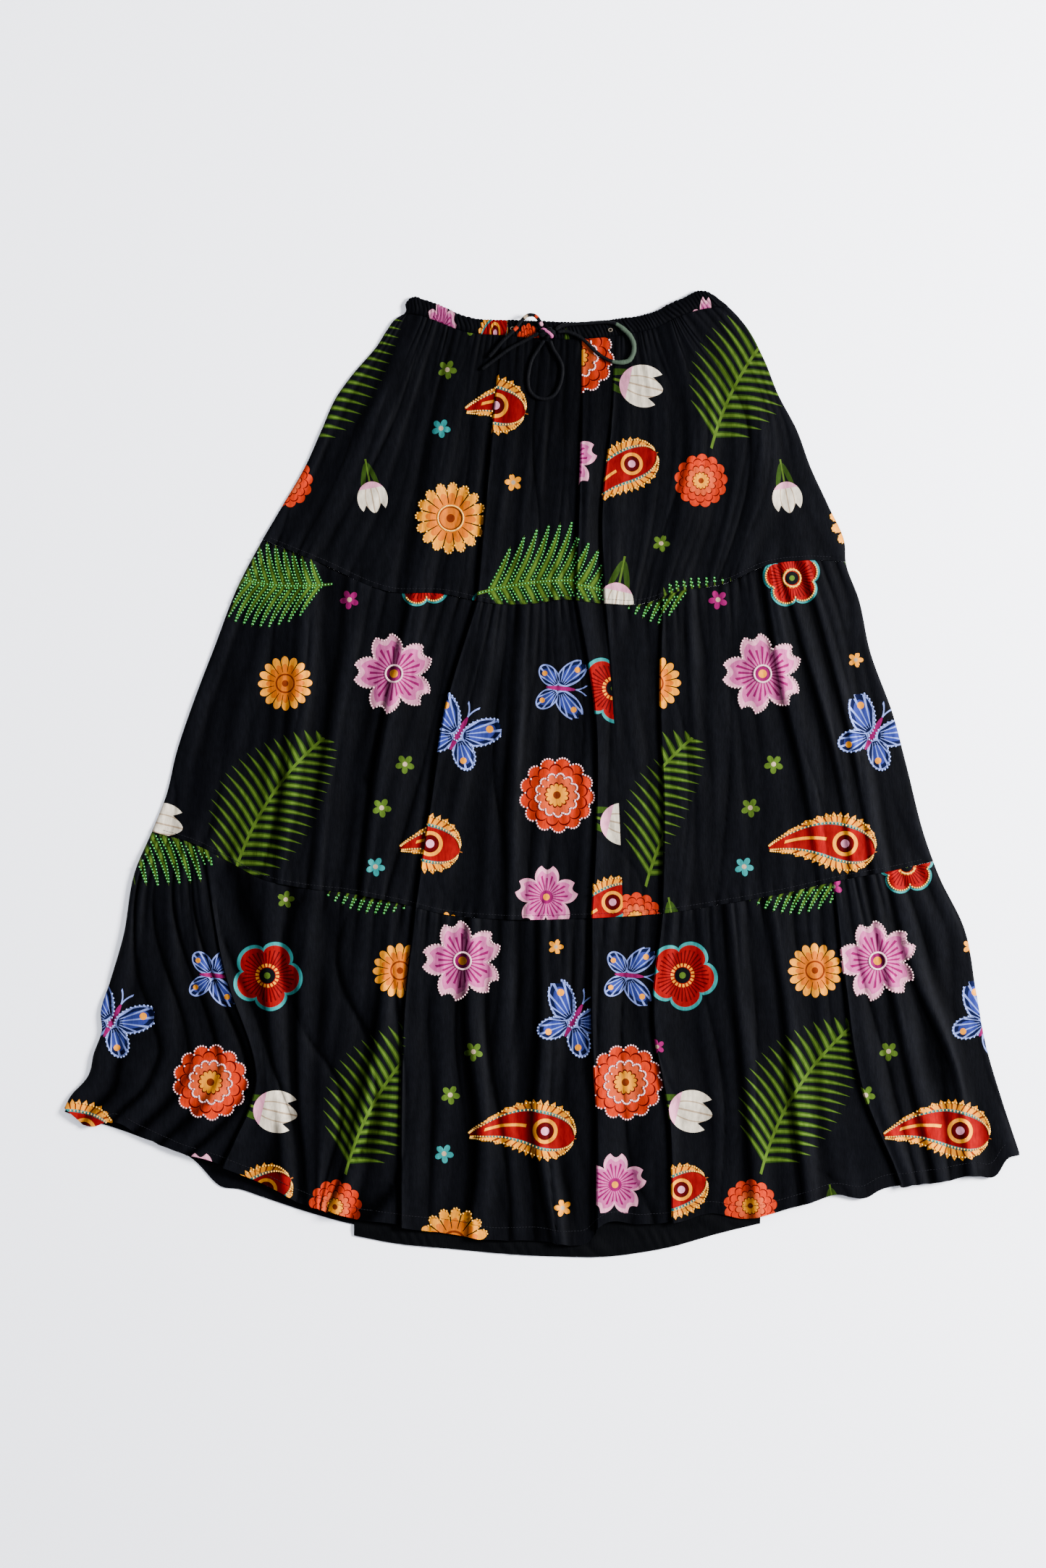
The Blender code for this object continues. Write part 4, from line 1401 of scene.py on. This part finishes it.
def round_ends(path, width):
    """Radii of a cord along its path, closing to a round end at both ends."""
    along = distances_along(path)
    near = np.minimum(along, along[-1] - along) / (width / 2)
    closing = np.sqrt(np.clip(1.0 - (1.0 - np.clip(near, 0.12, 1.0)) ** 2, 0.0, 1.0))
    lumps = 1.0 + 0.04 * np.sin(along * 1900.0) + 0.04 * np.sin(along * 730.0)
    return width / 2 * closing * lumps


def cord_cloth():
    """The skirt's own cloth as a narrow tube, painted where its print shows."""
    material, tree, surface = new_material(
        "tie_cord_crepe", roughness=0.6, specular=0.025, sheen=0.003
    )
    crinkle(tree, surface, object_place(tree), 0.5)
    paint = add_node(tree, "VertexColor", layer_name="paint")
    tree.links.new(paint.outputs["Color"], surface.inputs["Base Color"])
    return material


def joined(tubes):
    """Points and faces of many tubes as one mesh."""
    points = []
    faces = []
    for tube, quads in tubes:
        faces += [[k + len(points) for k in face] for face in quads]
        points += tube.tolist()
    return points, faces


def paint_rings(cord, rings, sides, name):
    """Colours the rings of a cord's tube from the table of its printed stretches."""
    chosen = settings()
    share = np.linspace(0.0, 1.0, rings)
    colours = np.tile(np.array((*chosen.black, 1.0)), (rings, 1))
    for cord_name, start, end, colour_name in TIE_PRINT:
        if cord_name == name:
            shown = (share >= start) & (share <= end)
            colours[shown, :3] = tuple(getattr(chosen, colour_name))
    layer = cord.data.color_attributes.new("paint", "FLOAT_COLOR", "POINT")
    spread = np.repeat(colours, sides, axis=0)
    layer.data.foreach_set("color", spread.astype(np.float32).ravel())


def wrapped_knot(width, material):
    """Turns of cord drawn tight round each other."""
    low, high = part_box("bow_knot")
    centre = np.array((low + high) / 2)
    half = np.array((high - low) / 2)
    turn = full_turn(KNOT_RINGS)
    thick = width * 0.5
    tubes = []
    for lean, shift, share in KNOT_TURNS:
        beside = shift - KNOT_TWIST * np.cos(turn)
        ring = np.stack([beside, np.sin(turn), -share * np.cos(turn)], axis=1)
        cos, sin = math.cos(lean), math.sin(lean)
        ring[:, :2] = ring[:, :2] @ np.array(((cos, sin), (-sin, cos)))
        ring = ring * (half - thick * np.array((0.5, 0.5, 1.0)))
        radii = np.full(KNOT_RINGS, thick)
        tubes.append(tube_arrays(ring + centre, radii, TUBE_SIDES, closed=True))
    knot = new_mesh("bow_knot_cord", *joined(tubes))
    paint_rings(knot, KNOT_RINGS * len(KNOT_TURNS), TUBE_SIDES, "bow_knot")
    finish_piece(knot, material, "bow_knot")
    return knot


class SKIRT_OT_tie(bpy.types.Operator):
    """Make the tie cord: the knot, two loops and two free ends"""

    bl_idname = "skirt.tie"
    bl_label = "Tie cord"

    def execute(self, context):
        width = settings().cord_width
        material = cord_cloth()
        knot = wrapped_knot(width, material)
        for name, route in TIE_ROUTES.items():
            path = smooth_route(route, CORD_STEP)
            share = np.linspace(0.0, 1.0, len(path))
            start, end = ARC_STRETCH
            wide = smooth_step((share - start) / 0.05) * smooth_step((end - share) / 0.05)
            wide = 1.0 + ARC_SPREAD * wide * (name == LOOPS[0])
            tube, quads = tube_arrays(path, round_ends(path, width) * wide, TUBE_SIDES, 0.8)
            cord = new_mesh(f"{name}_cord", tube, quads)
            paint_rings(cord, len(path), TUBE_SIDES, name)
            finish_piece(cord, material, name)
        return {"FINISHED"}


class SKIRT_OT_eyelets(bpy.types.Operator):
    """Sew the two small rings that the drawstring comes out of"""

    bl_idname = "skirt.eyelets"
    bl_label = "Eyelets"

    def execute(self, context):
        turn = full_turn(3 * EYELET_STITCHES)
        wide, tall = EYELET_RADII
        ring = np.stack([wide * np.cos(turn), tall * np.sin(turn), np.zeros_like(turn)], axis=1)
        radii = (0.5 + 0.1 * np.cos(turn * EYELET_STITCHES)) * MM
        tubes = [
            tube_arrays((ring + (x, y, EYELET_HEIGHT)) * MM, radii, 8, closed=True)
            for x, y in EYELETS
        ]
        rings = new_mesh("casing_eyelets", *joined(tubes))
        sew_on(rings, plain_cloth("eyelet_thread", tuple(settings().eyelet), 0.1))
        return {"FINISHED"}


def bead_lines(motif):
    """Lines of beads on a motif, in its own coordinates, with the colour of each line."""
    radius = motif["radius"]
    gap = settings().bead_step / MM / radius
    kind = motif["kind"]
    around = full_turn(round(2.0 * np.pi / gap * 1.15))
    circle = np.stack([np.cos(around), np.sin(around)], axis=1)

    def rings(name, *edges):
        return [(np.reshape(edge, (-1, 1)) * circle, name) for edge in edges]

    if kind == FERN:
        return fern_beads(gap)
    if kind == PAISLEY:
        return paisley_beads(gap)
    if kind == BUTTERFLY:
        return wing_beads(gap)
    petal = np.abs(np.cos(around * (FLOWERS[kind][0] / 2)))
    edge = flower_edge(kind, petal)
    if kind == DAISY:
        return rings("gold", edge, 0.36)
    if kind == POPPY:
        return rings("gold", edge - POPPY_BORDER, 0.28)
    if kind == ZINNIA:
        out, start = ZINNIA_INNER
        return rings("pale", edge, petal**0.5 * out + start)
    notch = np.maximum(petal - BLOSSOM_NOTCH[0], 0.0)
    return rings("pale", blossom_edge(petal, notch), 0.2)


def wing_beads(gap):
    """Beads round the butterfly's wings, except where one wing lies on the other."""
    lines = []
    for wing, other in ((UPPER_WING, LOWER_WING), (LOWER_WING, UPPER_WING)):
        middle, radii, turn = wing
        around = full_turn(round(5.2 * sum(radii) / 2 / gap))
        p, q = turn_back(radii[0] * np.cos(around), radii[1] * np.sin(around), -turn)
        p, q = p + middle[0], q + middle[1]
        away = turn_back(p - other[0][0], q - other[0][1], other[2])
        free = (np.hypot(away[0] / other[1][0], away[1] / other[1][1]) > 1.0) & (q > 0.03)
        for side in (-1.0, 1.0):
            lines.append((np.stack([p, side * q], axis=1)[free], "sky"))
    return lines


def fern_beads(gap):
    lines = []
    for number in range(-FERN_LEAVES, FERN_LEAVES):
        middle = (number + 0.5) / FERN_LEAVES
        if abs(middle) > 0.9:
            continue
        for edge in (-0.5, 0.5):
            width = FERN_WIDTH * math.sqrt(1.0 - middle**2) * (1.0 - 0.35 * middle)
            out = np.arange(0.03, width * 0.97, gap)
            base = middle + edge * FERN_FILL * (1.0 - (out / width) ** 2) / FERN_LEAVES
            p = base + FERN_SLANT * out - FERN_CURL * out**2
            for side in (-1.0, 1.0):
                q = side * out + FERN_BEND * (1.0 - p**2)
                lines.append((np.stack([p, q], axis=1), "green"))
    p = np.arange(-0.98, 0.98, gap)
    lines.append((np.stack([p, FERN_BEND * (1.0 - p**2)], axis=1), "green"))
    return lines


def paisley_beads(gap):
    lines = []
    for share in (0.61, 0.9):
        p = np.sin(np.linspace(-1.0, 1.0, round(2.6 / gap)) * np.pi / 2) * 0.985
        width = np.sqrt(1.0 - p**2) * (1.0 - 0.55 * p) * 0.5
        bend = np.maximum(p + 0.2, 0.0) ** 2 * 0.34 - 0.1
        for side in (-share, share):
            lines.append((np.stack([p, bend + side * width], axis=1), "gold"))
    return lines


def beads_on_cloth(low, high):
    """Centres of all beads on the cloth between two corners of its repeat, by colour."""
    found = {}
    for number, motif in enumerate(PLACES):
        if not motif["beaded"]:
            continue
        first = np.floor((low - motif["at"]) / REPEAT).astype(int)
        last = np.ceil((high - motif["at"]) / REPEAT).astype(int)
        repeats = np.array(
            [(i, j) for i in range(first[0], last[0] + 1) for j in range(first[1], last[1] + 1)]
        )
        middles = motif["at"] + REPEAT * repeats
        for line, name in bead_lines(motif):
            x, y = turn_back(*(line.T * motif["radius"]), -motif["angle"])
            spots = np.stack([x, y], axis=1) + middles[:, None, :]
            spots = spots.reshape(-1, 2)
            spots = spots[((spots > low) & (spots < high)).all(axis=1)]
            found.setdefault(name, []).append(spots[motif_at(spots)[0] == number])
    return {name: np.concatenate(spots) for name, spots in found.items()}


def beads_on_tier(tier):
    """Centres of the beads on a front tier, in millimetres, by colour."""
    edges = TIER_EDGES[tier]
    folds = FOLDS[tier]
    panels = sum(is_lap(fold) for fold in folds) + 1
    cut = np.array(CUTS[f"{tier}_front"], float)
    half_width = RIGHT_SIDE[-1][1]
    heights = [y for edge in edges for _, y in edge]
    low = cut + (-half_width, min(heights))
    high = cut + (half_width + panels * LAP_HIDDEN, max(heights))
    found = {}
    for name, spots in beads_on_cloth(low, high).items():
        kept = []
        for panel in range(panels):
            x, y = (spots - cut).T
            x = x - panel * LAP_HIDDEN
            lane, down, inside = find_points(edges, folds, x, y)
            inside &= laps_left_of(folds, x, down) == panel
            z = tier_height(tier, x, lane, down) + BEAD_LIFT
            kept.append(np.stack([x, y, z], axis=1)[inside])
        found[name] = np.concatenate(kept)
    return found


def bead_mesh():
    """Points and faces of a bead of unit width: a ball of twenty faces."""
    golden = (1.0 + math.sqrt(5.0)) / 2.0
    points = []
    for a in (-1.0, 1.0):
        for b in (-golden, golden):
            points += [(0.0, a, b), (a, b, 0.0), (b, 0.0, a)]
    points = np.array(points)
    points /= np.linalg.norm(points, axis=1)[:, None]
    edge = min(np.linalg.norm(points[0] - other) for other in points[1:])
    faces = []
    for i in range(12):
        for j in range(i + 1, 12):
            for k in range(j + 1, 12):
                a, b, c = points[i], points[j], points[k]
                sides = (np.linalg.norm(a - b), np.linalg.norm(b - c), np.linalg.norm(c - a))
                if max(sides) < edge * 1.01:
                    outward = np.dot(np.cross(b - a, c - a), a + b + c) > 0.0
                    faces.append((i, j, k) if outward else (i, k, j))
    return points / 2.0, np.array(faces)


class SKIRT_OT_beads(bpy.types.Operator):
    """Sew the beads on the front tiers, one piece for each tier and colour"""

    bl_idname = "skirt.beads"
    bl_label = "Beads"

    def execute(self, context):
        width = settings().bead_width
        ball, ball_faces = bead_mesh()
        for tier in TIER_EDGES:
            for name, spots in beads_on_tier(tier).items():
                if not len(spots):
                    continue
                points = (spots[:, None, :] * MM + ball[None, :, :] * width).reshape(-1, 3)
                offsets = np.arange(len(spots))[:, None, None] * len(ball)
                faces = (ball_faces[None, :, :] + offsets).reshape(-1, 3)
                beads = new_mesh(f"{tier}_beads_{name}", points, faces.tolist())
                material = bpy.data.materials.get(f"bead_{name}")
                material = material or glass_bead(f"bead_{name}", BEAD_COLOURS[name])
                sew_on(beads, material)
        return {"FINISHED"}


def stitch_line(tier, above):
    """Points along a line of stitches a distance above a tier's lower edge, in millimetres."""
    edges = TIER_EDGES[tier]
    folds = FOLDS[tier]
    lane = np.linspace(0.01, 0.99, 4000)
    top_y, bottom_y = edge_y(edges, 0.5)
    down = np.full_like(lane, 1.0 - above / (top_y - bottom_y))
    x, y = plan_points(edges, folds, lane, down)
    z = tier_height(tier, x, lane, down) + TURN_RISE * (above < edge_turn(tier)) + 0.05
    return np.stack([x, y, z], axis=1)


class SKIRT_OT_stitches(bpy.types.Operator):
    """Sew the lines of topstitching above the seams and the hem"""

    bl_idname = "skirt.stitches"
    bl_label = "Topstitching"

    def execute(self, context):
        material = plain_cloth("thread", tuple(settings().thread), 0.1)
        for tier, above in STITCH_LINES:
            line = stitch_line(tier, above)
            along = distances_along(line)
            tubes = []
            for start in np.arange(0.0, along[-1] - STITCH, STITCH + STITCH_GAP):
                at = start + np.linspace(0.0, STITCH, 4)
                path = np.stack([np.interp(at, along, line[:, k]) for k in range(3)], axis=1)
                path[[0, -1], 2] -= 0.15
                tubes.append(tube_arrays(path * MM, np.full(4, THREAD_RADIUS), 5))
            thread = new_mesh(f"{tier}_topstitching", *joined(tubes))
            sew_on(thread, material)
        return {"FINISHED"}


def area_light(name, place, target, size, power, tint):
    """A soft square light that faces a point."""
    data = bpy.data.lights.new(name, "AREA")
    data.size = size
    data.energy = power
    data.color = tint
    light = bpy.data.objects.new(name, data)
    light.location = place
    aim = Vector(target) - Vector(place)
    light.rotation_euler = aim.to_track_quat("-Z", "Y").to_euler()
    bpy.context.scene.collection.objects.link(light)


class SKIRT_OT_stage(bpy.types.Operator):
    """Make the pale floor, the soft lights and the camera straight above"""

    bl_idname = "skirt.stage"
    bl_label = "Stage"

    def execute(self, context):
        bpy.ops.object.select_all(action="DESELECT")
        bpy.ops.mesh.primitive_plane_add(size=FLOOR_SIZE, location=(0.0, 0.0, -FLOOR_DEPTH))
        floor = context.object
        floor.name = "floor"
        material = new_material("pale_floor", colour=FLOOR_COLOUR, roughness=0.9, specular=0.1)[0]
        floor.data.materials.append(material)
        for name, values in LIGHTS.items():
            area_light(name, *values)
        world = bpy.data.worlds.new("soft_room")
        world.use_nodes = True
        background = world.node_tree.nodes["Background"]
        background.inputs["Color"].default_value = ROOM_COLOUR
        background.inputs["Strength"].default_value = 1.0
        context.scene.world = world
        data = bpy.data.cameras.new("camera")
        data.lens = LENS
        data.clip_end = 20.0
        camera = bpy.data.objects.new("camera", data)
        camera.location = CAMERA_PLACE
        context.scene.collection.objects.link(camera)
        context.scene.camera = camera
        return {"FINISHED"}


class SKIRT_PT_panel(bpy.types.Panel):
    """Lists the steps that make the skirt and the values that they use"""

    bl_label = "Tiered skirt"
    bl_idname = "SKIRT_PT_panel"
    bl_space_type = "VIEW_3D"
    bl_region_type = "UI"
    bl_category = "Skirt"

    def draw(self, context):
        for step in STEPS:
            self.layout.operator(step.bl_idname)
        for name in SkirtSettings.__annotations__:
            self.layout.prop(context.scene.skirt, name)


STEPS = (
    SKIRT_OT_stage, SKIRT_OT_tie, SKIRT_OT_casing, SKIRT_OT_eyelets, SKIRT_OT_tiers,
    SKIRT_OT_backs, SKIRT_OT_lining, SKIRT_OT_stitches, SKIRT_OT_beads,
)


def register():
    for item in (SkirtSettings, *STEPS, SKIRT_PT_panel):
        bpy.utils.register_class(item)
    bpy.types.Scene.skirt = bpy.props.PointerProperty(type=SkirtSettings)


def unregister():
    del bpy.types.Scene.skirt
    for item in (SKIRT_PT_panel, *reversed(STEPS), SkirtSettings):
        bpy.utils.unregister_class(item)


def main():
    register()
    for step in STEPS:
        group, name = step.bl_idname.split(".")
        getattr(getattr(bpy.ops, group), name)()
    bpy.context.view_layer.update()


if __name__ == "__main__":
    main()
